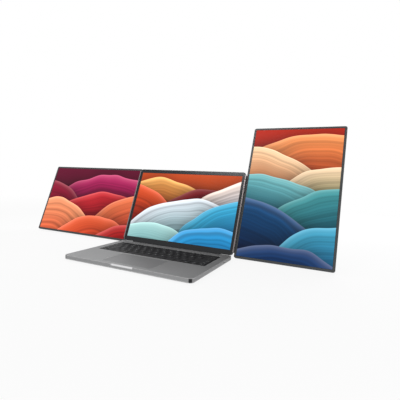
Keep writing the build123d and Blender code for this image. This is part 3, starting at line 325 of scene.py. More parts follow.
# %% Brushing group
def make_brushed_group():
    tree, given = start_group(
        "brushed lines",
        [("Stretch", "Vector", (40.0, 2500.0, 2500.0)), ("Contrast", "Float", 0.1)],
        [("Shade", "Float"), ("Height", "Float")],
    )
    stretched = vector_maths(tree, "MULTIPLY", {0: object_place(tree), 1: given["Stretch"]})
    lines = noise(tree, stretched, 1.0, 3.0)
    shade = maths(tree, "MULTIPLY_ADD", centred(tree, lines), given["Contrast"], 1.0)
    return end_group(tree, {"Shade": shade, "Height": lines})


brushed_group = make_brushed_group()
print("made", brushed_group.name)

# %% [markdown]
# ## Painted dark corner glints
# The case's round front corners turn quickly past everything in the room, and in the photograph each of them
# catches something dark for a moment. The glint is tied to the way the surface faces, so it stays a narrow
# upright mark on each corner. Taking the size of the sideways part makes one rule serve both corners.

# %% Corner glint group
GLINT_START = 0.9
GLINT_FULL = 0.975


# Paints a dark reflection into the colour where the surface faces the set way.
def make_painted_glint_group():
    tree, given = start_group(
        "corner glint",
        [
            ("Colour", "Color", PLAIN_GREY),
            ("Glint Colour", "Color", PLAIN_GREY),
            ("Facing", "Vector", (0.55, -0.835, 0.0)),
        ],
        [("Colour", "Color")],
    )
    side = add_node(tree, "ShaderNodeTexCoord").outputs["Normal"]
    parts = add_node(tree, "ShaderNodeSeparateXYZ", {"Vector": side}).outputs
    folded = add_node(
        tree,
        "ShaderNodeCombineXYZ",
        {"X": maths(tree, "ABSOLUTE", parts["X"]), "Y": parts["Y"], "Z": parts["Z"]},
    )
    near = vector_maths(tree, "DOT_PRODUCT", {0: folded.outputs[0], 1: given["Facing"]}, "Value")
    mask = smooth_range(tree, near, GLINT_START, GLINT_FULL)
    return end_group(tree, {"Colour": mixed_colour(tree, mask, given["Colour"], given["Glint Colour"])})


painted_glint_group = make_painted_glint_group()
print("made", painted_glint_group.name)

# %% [markdown]
# ## One way to make a finish
# Most parts of this object are satin metal or grained plastic, and differ only in colour, gloss and grain. One
# function therefore builds the whole material: grain or brushing shades the colour, the edge group pales the
# edges with wear and a painted highlight, a painted dark glint can go on round corners, patchiness moves the
# roughness, and the height feeds a shallow bump. The shader itself stays in the material, where a renderer or
# an exporter can find it.

# %% Finish function
BRUSH_CONTRAST = 0.14
PATCH_ROUGHNESS = 0.12
BUMP_DEPTH = 0.05
COAT_ROUGHNESS = 0.12
finishes = {}


def empty_tree(data):
    """The emptied node tree of a material or a sky."""
    data.use_nodes = True
    data.node_tree.nodes.clear()
    return data.node_tree


def start_material(name):
    """A material with a Principled shader and an output, kept under its name."""
    material = bpy.data.materials.new(name + "_finish")
    tree = empty_tree(material)
    shader = tree.nodes.new("ShaderNodeBsdfPrincipled")
    add_node(tree, "ShaderNodeOutputMaterial", {"Surface": shader.outputs["BSDF"]})
    finishes[name] = material
    return tree, shader


def set_inputs(tree, shader, **values):
    """Fills a shader's inputs: Base_Color stands for Base Color."""
    for name, value in values.items():
        fill(tree, shader.inputs[name.replace("_", " ")], value)


def make_finish(
    name, body, edge,
    metallic=0.0, roughness=0.45, grains=2500.0, speckle=0.06, patchiness=0.05, bump=0.15,
    edge_width=0.35, edge_amount=0.5, coat=0.0, specular=0.5, brushed=None, glint=None,
):
    """A satin, grained or brushed finish. Colours are screen colours, edge width is in millimetres."""
    tree, shader = start_material(name)
    grain = use_group(
        tree, grain_group, {"Grains Per Metre": grains, "Speckle": speckle, "Patchiness": patchiness}
    )
    shade, height = grain["Shade"], grain["Height"]
    if brushed:
        lines = use_group(tree, brushed_group, {"Stretch": brushed, "Contrast": BRUSH_CONTRAST})
        shade, height = maths(tree, "MULTIPLY", shade, lines["Shade"]), lines["Height"]
    # Pale edge line: part wear, part painted highlight.
    edges = {
        "Colour": colour(*body),
        "Worn Colour": colour(*edge),
        "Width": edge_width * MM,
        "Amount": edge_amount,
    }
    tinted = use_group(tree, wear_and_highlight_group, edges)["Colour"]
    # Painted reflection: a dark glint laid over the colour on round corners.
    if glint:
        tinted = use_group(tree, painted_glint_group, {"Colour": tinted, "Glint Colour": colour(*glint)})["Colour"]
    rough = maths(
        tree, "MULTIPLY_ADD", grain["Patch"], PATCH_ROUGHNESS, roughness - PATCH_ROUGHNESS / 2
    )
    bumps = {"Height": height, "Strength": bump, "Distance": BUMP_DEPTH * MM}
    normal = add_node(tree, "ShaderNodeBump", bumps).outputs["Normal"]
    set_inputs(tree, shader, Base_Color=scaled(tree, tinted, shade), Roughness=rough, Normal=normal)
    set_inputs(tree, shader, Metallic=metallic, Specular_IOR_Level=specular)
    set_inputs(tree, shader, Coat_Weight=coat, Coat_Roughness=COAT_ROUGHNESS)


print("finish function ready")

# %% [markdown]
# ## The metals
# The computer's case is grey anodised aluminium, blasted so finely that it looks like paper. The monitors'
# backs and the arms behind the lid are the same metal, anodised darker, and the pins and hinge leaves are
# steel. A fully metallic finish would mirror the coloured screens in the deck, which a blasted surface does
# not do, so the cases are rough and not quite metallic. Only the cut in the front edge is bare and bright.

# %% Metal finishes
# The case's pale edges are part wear, part painted highlight, and its dark corner glint is a painted
# reflection.
make_finish(
    "case_metal", (146, 146, 147), (242, 242, 242),
    metallic=0.75, roughness=0.5, grains=5200.0, speckle=0.05, edge_width=0.9, edge_amount=0.9,
    glint=(34, 34, 35),
)
# Painted shade: the lid's shell is the case's metal, given a darker copy of its colour.
make_finish(
    "lid_metal", (112, 112, 113), (150, 150, 150),
    metallic=0.75, roughness=0.5, grains=5200.0, speckle=0.05, edge_width=0.3, edge_amount=0.3,
)
make_finish(
    "trackpad_surface", (132, 132, 133), (184, 184, 186),
    metallic=0.65, roughness=0.48, grains=6000.0, speckle=0.02, bump=0.05, edge_amount=0.3,
)
make_finish(
    "monitor_shell", (98, 100, 103), (160, 162, 165),
    metallic=0.7, roughness=0.46, grains=4200.0, speckle=0.07, edge_width=0.4, edge_amount=0.45,
)
make_finish(
    "arm_metal", (66, 68, 72), (140, 142, 146),
    metallic=0.85, roughness=0.38, speckle=0.03, brushed=(55.0, 2600.0, 2600.0), edge_amount=0.55,
)
make_finish(
    "rail_metal", (124, 118, 118), (176, 169, 169),
    metallic=0.8, roughness=0.4, speckle=0.03, brushed=(2600.0, 60.0, 60.0), edge_amount=0.5,
)
make_finish(
    "cut_metal", (218, 218, 219), (236, 236, 236),
    metallic=0.9, roughness=0.22, grains=6000.0, speckle=0.02, bump=0.02, edge_amount=0.2,
)
make_finish(
    "dark_steel", (48, 48, 50), (84, 84, 86), metallic=0.6, speckle=0.04, edge_amount=0.3
)
make_finish(
    "steel", (150, 151, 154), (220, 220, 222),
    metallic=1.0, roughness=0.3, speckle=0.03, brushed=(60.0, 3200.0, 3200.0), edge_amount=0.4,
)
make_finish(
    "socket_metal", (172, 173, 175), (225, 225, 226),
    metallic=1.0, roughness=0.26, grains=4000.0, speckle=0.04, edge_width=0.15, edge_amount=0.4,
)
print("metals", len(finishes))

# %% [markdown]
# ## Plastics, rubber and boards
# The bezels are near-black and glossy, the keys are near-black and matte with a slight skin grease sheen, and
# the bracket is a grained charcoal moulding. Circuit board, battery wrap and rubber are hidden in use and
# could be left plain, but they show in an exploded view, so they get their own finishes too.

# %% Plastic and hidden finishes
make_finish(
    "tray_black", (24, 24, 26), (48, 48, 50),
    roughness=0.55, grains=3000.0, speckle=0.12, edge_amount=0.3, specular=0.3,
)
make_finish(
    "key_black", (30, 30, 32), (66, 66, 70),
    roughness=0.5, grains=7000.0, speckle=0.1, patchiness=0.12, bump=0.25, edge_width=0.3,
    edge_amount=0.4, specular=0.3,
)
make_finish(
    "bezel_black", (26, 28, 31), (48, 50, 53),
    roughness=0.24, grains=900.0, speckle=0.03, bump=0.02, edge_width=0.2, edge_amount=0.3,
    specular=0.28,
)
make_finish(
    "moulded_black", (34, 34, 36), (74, 74, 76),
    roughness=0.5, grains=2600.0, speckle=0.12, bump=0.3, edge_amount=0.4,
)
make_finish(
    "bracket_shell", (50, 51, 54), (92, 94, 97),
    roughness=0.52, grains=2200.0, speckle=0.13, bump=0.4, edge_width=0.5, edge_amount=0.4,
)
make_finish(
    "monitor_bezel", (62, 64, 65), (100, 102, 102),
    grains=3000.0, speckle=0.08, edge_width=0.4, specular=0.25,
)
make_finish(
    "button_black", (48, 48, 50), (120, 120, 122),
    roughness=0.42, grains=3200.0, speckle=0.07, edge_width=0.3, edge_amount=0.6,
)
make_finish(
    "rubber", (40, 40, 41), (62, 62, 63),
    roughness=0.8, grains=1500.0, speckle=0.15, bump=0.5, edge_amount=0.2, specular=0.25,
)
make_finish(
    "circuit_board", (26, 84, 56), (150, 130, 70),
    roughness=0.35, grains=380.0, speckle=0.3, bump=0.1, edge_width=0.2, edge_amount=0.6, coat=0.3,
)
make_finish(
    "battery_wrap", (58, 58, 62), (110, 110, 114),
    metallic=0.4, roughness=0.36, grains=700.0, speckle=0.1, bump=0.1, edge_amount=0.3,
)
make_finish(
    "lens_glass", (10, 12, 18), (30, 34, 44),
    roughness=0.12, grains=500.0, speckle=0.02, bump=0.0, edge_width=0.2, edge_amount=0.6,
    specular=0.3,
)
make_finish(
    "legend_white", (228, 230, 232), (235, 235, 235),
    roughness=0.5, grains=9000.0, bump=0.02, edge_amount=0.0,
)
print("finishes", len(finishes))

# %% [markdown]
# ## Pictures on the screens
# Each screen shows a lit abstract picture. An image file could be laid on the screen, but a picture that the
# material draws stays sharp at any distance. The motif is a row of rolling dunes, one behind the other: each
# dune is a wide soft arc with one colour at its crest and another at its foot, fine silky strands that follow
# the arc, a glow along its crest and a soft shadow on what lies behind it. One group lays one dune over what
# is already there, so a picture is a short chain of it, from back to front.

# %% Dune group
STRANDS_PER_MM = 0.11
STRAND_CONTRAST = 1.2
STRAND_LEAST = 0.4
GLOW_FADE = -0.15
GLOW_GAIN = 0.7
GLOW_PALE = 0.14
GLOW_COLOUR = (1.0, 0.93, 0.86, 1.0)
SHADOW_FADE = 0.04
SHADOW_DEPTH = -0.45
HALF_EDGE = 0.5


def make_dune_group():
    tree, given = start_group(
        "picture dune",
        [
            ("Place", "Vector", (0.0, 0.0, 0.0)),
            ("Under", "Color", PLAIN_GREY),
            ("Centre", "Vector", (0.0, 0.0, 0.0)),
            ("Radius", "Float", 100.0),
            ("Depth", "Float", 60.0),
            ("Crest Colour", "Color", WHITE),
            ("Foot Colour", "Color", PLAIN_GREY),
        ],
        [("Colour", "Color")],
    )
    distance = vector_maths(tree, "DISTANCE", {0: given["Place"], 1: given["Centre"]}, "Value")
    inwards = maths(tree, "SUBTRACT", given["Radius"], distance)
    share = maths(tree, "DIVIDE", inwards, given["Depth"], clamp=True)
    body = mixed_colour(tree, share, given["Crest Colour"], given["Foot Colour"])
    strand_place = maths(tree, "MULTIPLY_ADD", inwards, STRANDS_PER_MM, given["Radius"])
    inputs = {"W": strand_place, "Scale": 1.0, "Detail": 4.0}
    strands = add_node(tree, "ShaderNodeTexNoise", inputs, noise_dimensions="1D").outputs["Fac"]
    silk = maths(tree, "MULTIPLY_ADD", strands, STRAND_CONTRAST, STRAND_LEAST)
    glow = maths(tree, "EXPONENT", maths(tree, "MULTIPLY", inwards, GLOW_FADE), clamp=True)
    silky = scaled(tree, body, maths(tree, "MULTIPLY_ADD", glow, GLOW_GAIN, silk))
    crested = mixed_colour(tree, maths(tree, "MULTIPLY", glow, GLOW_PALE), silky, GLOW_COLOUR)
    shadow = maths(tree, "EXPONENT", maths(tree, "MULTIPLY", inwards, SHADOW_FADE), clamp=True)
    behind = scaled(tree, given["Under"], maths(tree, "MULTIPLY_ADD", shadow, SHADOW_DEPTH, 1.0))
    inside = maths(tree, "ADD", inwards, HALF_EDGE, clamp=True)
    return end_group(tree, {"Colour": mixed_colour(tree, inside, behind, crested)})


dune_group = make_dune_group()
print("made", dune_group.name)

# %% [markdown]
# ## Where a point lies on a picture
# A picture has to stay on its screen when the screen moves. Object coordinates do that, because the mesh and
# its coordinates move together. A Mapping node turns them from the frame's metres into millimetres from the
# picture's middle, and a last step drops the depth. Slow noise then bends the places a little, so that no
# dune is a perfect circle.

# %% Places on a picture
LAY_FLAT = LID_LEAN - math.pi / 2
WAVES_PER_MM = 0.0075
WAVE_REACH = 46.0


def middle_of(low, high):
    """The middle of a box."""
    return (low + high) / 2


def picture_place(tree, node_name):
    """Millimetres across and up from the middle of the named screen node."""
    low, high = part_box(node_name)
    middle = Matrix.Rotation(LAY_FLAT, 3, "X") @ middle_of(low, high) / MM
    turned = {
        "Vector": object_place(tree),
        "Location": -middle,
        "Rotation": (LAY_FLAT, 0.0, 0.0),
        "Scale": (1 / MM, 1 / MM, 1 / MM),
    }
    laid = add_node(tree, "ShaderNodeMapping", turned).outputs[0]
    return vector_maths(tree, "MULTIPLY", {0: laid, 1: (1.0, 1.0, 0.0)})


def waved(tree, place):
    """The same places, bent by slow noise."""
    inputs = {"Vector": place, "Scale": WAVES_PER_MM, "Detail": 1.0}
    slow = add_node(tree, "ShaderNodeTexNoise", inputs).outputs["Color"]
    bend = vector_maths(tree, "SUBTRACT", {0: slow, 1: (0.5, 0.5, 0.5)})
    return vector_maths(tree, "MULTIPLY_ADD", {0: bend, 1: (WAVE_REACH, WAVE_REACH, 0.0), 2: place})


def lit_area(tree, place, size):
    """1 inside a rectangle of the given size about the picture's middle, 0 outside."""
    parts = add_node(tree, "ShaderNodeSeparateXYZ", {"Vector": place}).outputs
    inside = [
        maths(tree, "LESS_THAN", maths(tree, "ABSOLUTE", parts[axis]), length / 2)
        for axis, length in zip("XY", size)
    ]
    return maths(tree, "MULTIPLY", *inside)


print("pictures are laid flat by", round(math.degrees(LAY_FLAT), 2), "degrees")

# %% [markdown]
# ## The three pictures
# Outside the lit rectangle the panel is plain black. Only the camera sees the picture itself: a blasted deck
# shows no image of it, so every other ray meets an even grey of a set strength instead. The left screen's is
# the strongest, because the deck is palest there. The left picture runs from wine red to orange, the middle
# one from orange to sky blue, and the right one from sand to a night blue.

# %% Picture function
PANEL_BLACK = (0.006, 0.006, 0.007, 1.0)
UNLIT = (0.0, 0.0, 0.0, 1.0)


def make_picture(name, node_name, size, spill, ground, dunes):
    """A lit picture: a ground colour, then dunes as (x, y, radius, depth, crest, foot)."""
    tree, shader = start_material(name)
    place = picture_place(tree, node_name)
    shared = {"Place": waved(tree, place)}
    picture = colour(*ground)
    for x, y, radius, depth, crest, foot in dunes:
        arc = {"Centre": (x, y, 0.0), "Radius": radius, "Depth": depth}
        tones = {"Under": picture, "Crest Colour": colour(*crest), "Foot Colour": colour(*foot)}
        picture = use_group(tree, dune_group, {**shared, **arc, **tones})["Colour"]
    lit = mixed_colour(tree, lit_area(tree, place, size), UNLIT, picture)
    seen = add_node(tree, "ShaderNodeLightPath").outputs["Is Camera Ray"]
    shown = mixed_colour(tree, seen, (spill, spill, spill, 1.0), lit)
    set_inputs(tree, shader, Emission_Color=shown, Emission_Strength=1.0, Base_Color=PANEL_BLACK)
    set_inputs(tree, shader, Roughness=0.3, Specular_IOR_Level=0.05)
    print(name, size, "mm, dunes", len(dunes))


# %% The left picture
make_picture(
    "left_picture", "left_monitor_screen", (344.0, 214.8), 0.5, (112, 14, 50),
    [
        (70, -210, 302, 90, (196, 34, 104), (110, 10, 46)),
        (-190, -150, 216, 100, (150, 14, 54), (160, 18, 48)),
        (60, -270, 300, 110, (214, 40, 50), (160, 16, 34)),
        (220, -190, 220, 110, (242, 124, 76), (204, 54, 40)),
        (-140, -250, 252, 120, (250, 160, 112), (232, 92, 54)),
        (60, -290, 240, 100, (236, 96, 50), (190, 40, 28)),
        (190, -250, 186, 90, (176, 24, 24), (110, 10, 14)),
    ],
)

# %% The middle picture
make_picture(
    "lid_picture", "lid_screen", (307.4, 195.4), 0.04, (234, 92, 38),
    [
        (-90, -180, 262, 80, (254, 184, 96), (240, 108, 44)),
        (80, -160, 220, 60, (150, 16, 32), (120, 10, 26)),
        (190, -120, 206, 90, (246, 226, 214), (206, 212, 226)),
        (-200, -170, 240, 110, (238, 90, 40), (150, 18, 22)),
        (20, -220, 246, 120, (226, 234, 242), (146, 200, 208)),
        (210, -200, 236, 110, (62, 180, 220), (16, 100, 166)),
        (-90, -290, 240, 100, (170, 216, 214), (96, 168, 176)),
        (120, -280, 232, 110, (40, 152, 210), (14, 84, 150)),
    ],
)

# %% The right picture
make_picture(
    "right_picture", "right_monitor_screen", (214.8, 344.0), 0.1, (206, 50, 30),
    [
        (60, -110, 266, 90, (250, 158, 92), (234, 100, 50)),
        (-110, -120, 236, 90, (254, 214, 168), (240, 140, 78)),
        (120, -140, 216, 80, (250, 216, 176), (180, 176, 128)),
        (-90, -190, 236, 100, (110, 182, 186), (24, 112, 136)),
        (130, -200, 214, 110, (70, 156, 160), (14, 84, 110)),
        (-130, -280, 260, 130, (18, 74, 122), (6, 20, 56)),
        (130, -290, 214, 110, (66, 166, 198), (14, 82, 134)),
        (-20, -360, 230, 110, (12, 56, 106), (6, 22, 60)),
    ],
)

# %% [markdown]
# ## Finishes on the CAD parts
# The frame's parts arrive with plain slots that carry the names of the record's materials. Giving each slot
# the finish of the same name dresses every part at once. The parts themselves are not moved or changed. The
# lid's shell is of the same metal as the case, but its thin rim looks darker in the photograph.

# %% Dress the CAD parts
# lid_metal is a darker copy of the case's metal colour: painted shade on the lid's shell.
OWN_FINISHES = {"lid_shell": "lid_metal", "hinge_mounts": "case_metal", "hinge_leaves": "dark_steel"}
node_slots = {name: node.material_slots[0].name for name, node in frame["nodes"].items()}


def finish_of(node_name):
    """The finish of a CAD part: its own, or else the one that its slot names."""
    return finishes[OWN_FINISHES.get(node_name, node_slots[node_name])]


for node_name, node in frame["nodes"].items():
    for material_slot in node.material_slots:
        material_slot.material = finish_of(node_name)
print("dressed", len(node_slots), "parts")

# %% [markdown]
# ## Soft edges
# No real edge is perfectly sharp, and the thin line of light along an edge is what makes a solid look made. A
# shader could fake it, but then the outline would stay sharp. So a part's mesh is copied, its flat faces are
# merged, and a Bevel modifier rounds only the edges that turn by more than a set angle, which leaves curved
# walls as they are. The Weighted Normal modifier then keeps wide flat faces flat. The copy stands for the
# CAD part.

# %% Meshes and pieces
SAME_PLACE = 1e-7


def cad_shape(node_name):
    """A CAD part's mesh to work on, its doubled points joined."""
    shape = bmesh.new()
    shape.from_mesh(frame["nodes"][node_name].data)
    bmesh.ops.remove_doubles(shape, verts=shape.verts, dist=SAME_PLACE)
    return shape


def mesh_of(shape, name):
    """Closes a worked shape and gives its mesh."""
    mesh = bpy.data.meshes.new(name)
    shape.to_mesh(mesh)
    shape.free()
    return mesh


def modified_mesh(rough):
    """The mesh of an object with its modifiers done. The object itself is taken away."""
    graph = bpy.context.evaluated_depsgraph_get()
    mesh = bpy.data.meshes.new_from_object(rough.evaluated_get(graph))
    bpy.data.objects.remove(rough)
    return mesh


def smooth_walls(mesh, sharp_from):
    """Smooth shading, but for the edges that turn by more than the given degrees."""
    mesh.shade_smooth()
    mesh.set_sharp_from_angle(angle=math.radians(sharp_from))
    return mesh


def finish_mesh(name, mesh, body, slot_name, *nodes):
    """Puts a finished mesh in the scene, riding on its body, in place of its CAD parts."""
    piece = placed(name, mesh)
    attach(piece, body)
    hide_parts(*nodes)
    return piece


def body_of_node(node_name):
    """The body that a CAD part rides on."""
    return frame["nodes"][node_name].parent.name.replace("body:", "")


print("the trackpad rides on", body_of_node("trackpad"))

# %% Soft copies
FLAT_WITHIN = 0.5
SHARP_FROM = 35.0
BEVEL_STEPS = 2


def soften(node_name, width, clamp=True):
    """A copy of a CAD part with its edges rounded by the given millimetres."""
    shape = cad_shape(node_name)
    bmesh.ops.dissolve_limit(
        shape, angle_limit=math.radians(FLAT_WITHIN), verts=shape.verts, edges=shape.edges
    )
    rough = placed(node_name + "_rough", mesh_of(shape, node_name + "_shape"))
    bevel = rough.modifiers.new("soft edges", "BEVEL")
    bevel.width = width * MM
    bevel.segments = BEVEL_STEPS
    bevel.limit_method = "ANGLE"
    bevel.angle_limit = math.radians(SHARP_FROM)
    bevel.use_clamp_overlap = clamp
    even = placed(node_name + "_even", smooth_walls(modified_mesh(rough), SHARP_FROM))
    even.modifiers.new("weigh by area", "WEIGHTED_NORMAL").keep_sharp = True
    soft = modified_mesh(even)
    soft.materials.clear()
    soft.materials.append(finish_of(node_name))
    slot_name = node_slots[node_name]
    return finish_mesh(node_name + "_soft", soft, body_of_node(node_name), slot_name, node_name)


print("edges turn smooth below", SHARP_FROM, "degrees")

# %% Edges of each part, in millimetres
SOFT_EDGES = {
    "trackpad": 0.25,
    "base_sockets": 0.08,
    "hinge_mounts": 0.3,
    "case_screws": 0.12,
    "lid_bezel": 0.2,
    "hinge_cover": 0.3,
    "hinge_leaves": 0.25,
    "bracket_cover": 0.3,
    "bracket_pads": 0.4,
    "bracket_screws": 0.12,
    "kickstand_pin": 0.3,
    "kickstand_leg": 0.4,
    "kickstand_foot": 0.5,
}
SOFT_SIDE_EDGES = {
    "slide_arm": 0.35,
    "swing_pin": 0.25,
    "clamp_rail": 0.3,
    "clamp_pad": 0.15,
    "swing_arm": 0.45,
    "monitor_frame": 0.25,
    "monitor_sockets": 0.08,
    "turntable": 0.4,
    "turntable_cap": 0.3,
    "power_button": 0.25,
    "menu_button": 0.25,
}
SOFT_SHELLS = {
    "bottom_cover": 0.15,
    "lid_shell": 0.15,
    "bracket_housing": 0.2,
    "left_monitor_back": 0.2,
    "right_monitor_back": 0.2,
}
for node_name, width in SOFT_EDGES.items():
    soften(node_name, width)
for node_name, width in SOFT_SHELLS.items():
    soften(node_name, width, clamp=False)
for side in ("left", "right"):
    for part_name, width in SOFT_SIDE_EDGES.items():
        soften(side + "_" + part_name, width)
print("softened", len(SOFT_EDGES) + len(SOFT_SHELLS) + 2 * len(SOFT_SIDE_EDGES), "parts")

# %% [markdown]
# ## The cut in the front edge
# A shallow scoop in the middle of the front edge lets a finger lift the lid. It is milled after the case is
# blasted, so its faces are bare bright metal. A second piece could cover them, but the scoop's faces are part
# of the case, so only the faces that lie within the scoop's box get the brighter finish.

# %% The bright scoop
CASE_EDGE = 0.12
SCOOP_HALF = 27.5
SCOOP_REACH = 4.2
SCOOP_DEPTH = 3.0
DECK_SKIN = 0.1


def paint_inside(piece, finish_name, low, high):
    """Gives a second finish to the faces of a piece whose middles lie inside a box."""
    piece.data.materials.append(finishes[finish_name])
    painted = 0
    for face in piece.data.polygons:
        if all(low[axis] < face.center[axis] < high[axis] for axis in range(3)):
            face.material_index = 1
            painted += 1
    return painted


def make_case():
    case = soften("top_case", CASE_EDGE, clamp=False)
    low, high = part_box("top_case")
    middle = middle_of(low, high)
    return paint_inside(
        case,
        "cut_metal",
        (middle.x - SCOOP_HALF * MM, low.y - MM, high.z - SCOOP_DEPTH * MM),
        (middle.x + SCOOP_HALF * MM, low.y + SCOOP_REACH * MM, high.z - DECK_SKIN * MM),
    )


print("bright faces", make_case())

# %% [markdown]
# ## The camera in the lid
# Behind the bezel lies a small board, and only the camera's lens shows through a round hole. The board keeps
# its dull black, and the faces that look out through the hole become dark glass.

# %% The lid's camera
BOARD_EDGE = 0.06
LENS_HALF = 2.2


def make_webcam():
    webcam = soften("webcam", BOARD_EDGE)
    low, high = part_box("webcam")
    lens = Vector((middle_of(low, high).x, low.y, high.z))
    reach = LENS_HALF * MM
    return paint_inside(
        webcam,
        "lens_glass",
        lens - Vector((reach, reach, 2 * reach)),
        lens + Vector((reach, reach, reach)),
    )


print("lens faces", make_webcam())

# %% [markdown]
# ## Where the keys are
# The keys of a row arrive as one CAD part of many separate solids. Walking from point to point along the
# edges finds each solid, and its box gives the place and size of its key, so the caps sit exactly where the
# keys do. Typed-in places would drift from the CAD as soon as a size changes.

# %% Islands
def islands(node_name):
    """The lowest and highest corner of each separate solid in a CAD part, from left to right."""
    shape = cad_shape(node_name)
    left, boxes = set(shape.verts), []
    while left:
        found, waiting = [], [left.pop()]
        while waiting:
            vertex = waiting.pop()
            found.append(vertex.co.copy())
            for edge in vertex.link_edges:
                other = edge.other_vert(vertex)
                if other in left:
                    left.remove(other)
                    waiting.append(other)
        low = Vector(min(point[axis] for point in found) for axis in range(3))
        high = Vector(max(point[axis] for point in found) for axis in range(3))
        boxes.append((low, high))
    shape.free()
    return sorted(boxes, key=lambda box: box[0][:])


print("number keys", len(islands("number_keys")))

# %% [markdown]
# ## Keycaps
# A low keycap has upright sides, a rounded shoulder and a top that is dished to guide the finger. A bevelled
# box would have no dish, so a cap is made as a loft: the same rounded outline repeated at several heights and
# insets, joined ring by ring. The dish is more rings, each smaller and deeper than the last.

# %% Outlines and lofts
KEY_CORNER = 1.4
LEAST_CORNER = 0.28
CORNER_STEPS = 4


def key_outline(low, high, inset):
    """Points round a key with round corners, moved inwards by the inset in millimetres."""
    left, front = low.x + inset * MM, low.y + inset * MM
    right, rear = high.x - inset * MM, high.y - inset * MM
    corner = max(KEY_CORNER - inset, LEAST_CORNER) * MM
    middles = (
        (right - corner, rear - corner, 0.0),
        (left + corner, rear - corner, 90.0),
        (left + corner, front + corner, 180.0),
        (right - corner, front + corner, 270.0),
    )
    points = []
    for x, y, start in middles:
        for step in range(CORNER_STEPS + 1):
            turn = math.radians(start + 90.0 * step / CORNER_STEPS)
            points.append((x + corner * math.cos(turn), y + corner * math.sin(turn)))
    return points


def loft(shape, rings):
    """Joins rings of points, each with as many points as the next, and closes both ends."""
    made = [[shape.verts.new(point) for point in ring] for ring in rings]
    shape.faces.new(list(reversed(made[0])))
    for lower, upper in zip(made, made[1:]):
        for place in range(len(lower)):
            after = (place + 1) % len(lower)
            shape.faces.new((lower[place], lower[after], upper[after], upper[place]))
    shape.faces.new(made[-1])


print("points round a key", 4 * (CORNER_STEPS + 1))

# %% Keycap shape
KEY_DISH = 0.14 * MM
KEY_SIDE = ((0.0, 0.0), (0.72, 0.05), (0.9, 0.14), (0.975, 0.28), (1.0, 0.48))
DISH_RINGS = (0.88, 0.72, 0.52, 0.3, 0.12)


def dished(height, scale):
    """How high the dish is at a share of the way from the key's middle to its rim."""
    return height - KEY_DISH * (1 - scale * scale)


def add_keycap(shape, low, high):
    """One keycap: side rings as shares of its height with an inset in millimetres, then a dish."""
    rings = []
    for share, inset in KEY_SIDE:
        height = low.z + share * (high.z - low.z)
        rings.append([(x, y, height) for x, y in key_outline(low, high, inset)])
    middle, rim = middle_of(low, high), rings[-1]
    for scale in DISH_RINGS:
        rings.append(
            [
                (middle.x + (x - middle.x) * scale, middle.y + (y - middle.y) * scale, dished(z, scale))
                for x, y, z in rim
            ]
        )
    loft(shape, rings)


def dish_height(low, high, x, y):
    """How high the dished top is above a point of the key."""
    middle = middle_of(low, high)
    across = abs(x - middle.x) / (high.x - middle.x)
    along = abs(y - middle.y) / (high.y - middle.y)
    return dished(high.z, min(1.0, max(across, along)))


print("dish depth", KEY_DISH / MM, "mm")

# %% [markdown]
# ## Legends
# Key legends are printed letters, words and marks in a pale ink, here a plain sans face. Blender's own text
# object shapes them. Each is turned into a mesh, laid on the dished top point by point, and joined to its row,
# so a legend goes down with its key. Arrows are small triangles built point by point.

# %% Legend meshes
LEGEND_LIFT = 0.012 * MM
LEGEND_DEPTH = 0.01 * MM
CURVE_STEPS = 2
ARROW_SIZE = 1.5 * MM
ARROW_CORNERS = (0.0, 130.0, 230.0)
legend_cache = {}


def text_mesh(words, size):
    """The flat mesh of a short text, centred on its own middle."""
    if (words, size) not in legend_cache:
        text = bpy.data.curves.new("legend", "FONT")
        text.body = words
        text.size = size * MM
        text.resolution_u = CURVE_STEPS
        text.extrude = LEGEND_DEPTH
        text.align_x = text.align_y = "CENTER"
        legend_cache[words, size] = modified_mesh(placed("legend", text))
    return legend_cache[words, size]


def spot_on_key(low, high, at):
    """The point at the given shares of a key's width and depth."""
    return low.x + (high.x - low.x) * at[0], low.y + (high.y - low.y) * at[1]


def ink(shape, first_face):
    """Gives the legends' ink to every face from the given one on."""
    shape.faces.ensure_lookup_table()
    for face in shape.faces[first_face:]:
        face.material_index = 1


def add_legend(shape, low, high, words, size, at):
    """Lays a text on a keycap, its middle at the given spot."""
    middle = Vector((*spot_on_key(low, high, at), LEGEND_LIFT))
    first, first_face = len(shape.verts), len(shape.faces)
    shape.from_mesh(text_mesh(words, size))
    shape.verts.ensure_lookup_table()
    for vertex in shape.verts[first:]:
        vertex.co += middle
        vertex.co.z += dish_height(low, high, vertex.co.x, vertex.co.y)
    ink(shape, first_face)


def add_arrow(shape, low, high, turn, at):
    """A small solid triangle on a keycap, pointing the way that turn gives in degrees."""
    x, y = spot_on_key(low, high, at)
    angles = [math.radians(turn + corner) for corner in ARROW_CORNERS]
    tips = [(x + ARROW_SIZE * math.cos(angle), y + ARROW_SIZE * math.sin(angle)) for angle in angles]
    first_face = len(shape.faces)
    lifts = (-LEGEND_DEPTH, LEGEND_LIFT + LEGEND_DEPTH)
    loft(shape, [[(*tip, dish_height(low, high, *tip) + lift) for tip in tips] for lift in lifts])
    ink(shape, first_face)


print("legend lift", LEGEND_LIFT / MM, "mm")

# %% [markdown]
# ## The rows of keys
# Each row is one piece, because the keys of a row share one body in the frame. A key's legend is a list of
# marks: what is written, its size in millimetres, and where it stands on the key. Letters stand in the
# middle, words stand low at the side, and number keys carry two marks.

# %% Legends of the rows
LETTER_SIZE = 4.4
WORD_SIZE = 2.7
UPPER_MARK = (3.3, (0.5, 0.74))
LOWER_MARK = (3.7, (0.5, 0.29))
BLANK = [[]]


def letters(text):
    return [[(mark, LETTER_SIZE, (0.5, 0.52))] for mark in text]


def pairs(upper, lower):
    return [[(high, *UPPER_MARK), (low, *LOWER_MARK)] for high, low in zip(upper, lower)]


def word(text, x, y=0.24):
    return [[(text, WORD_SIZE, (x, y))]]


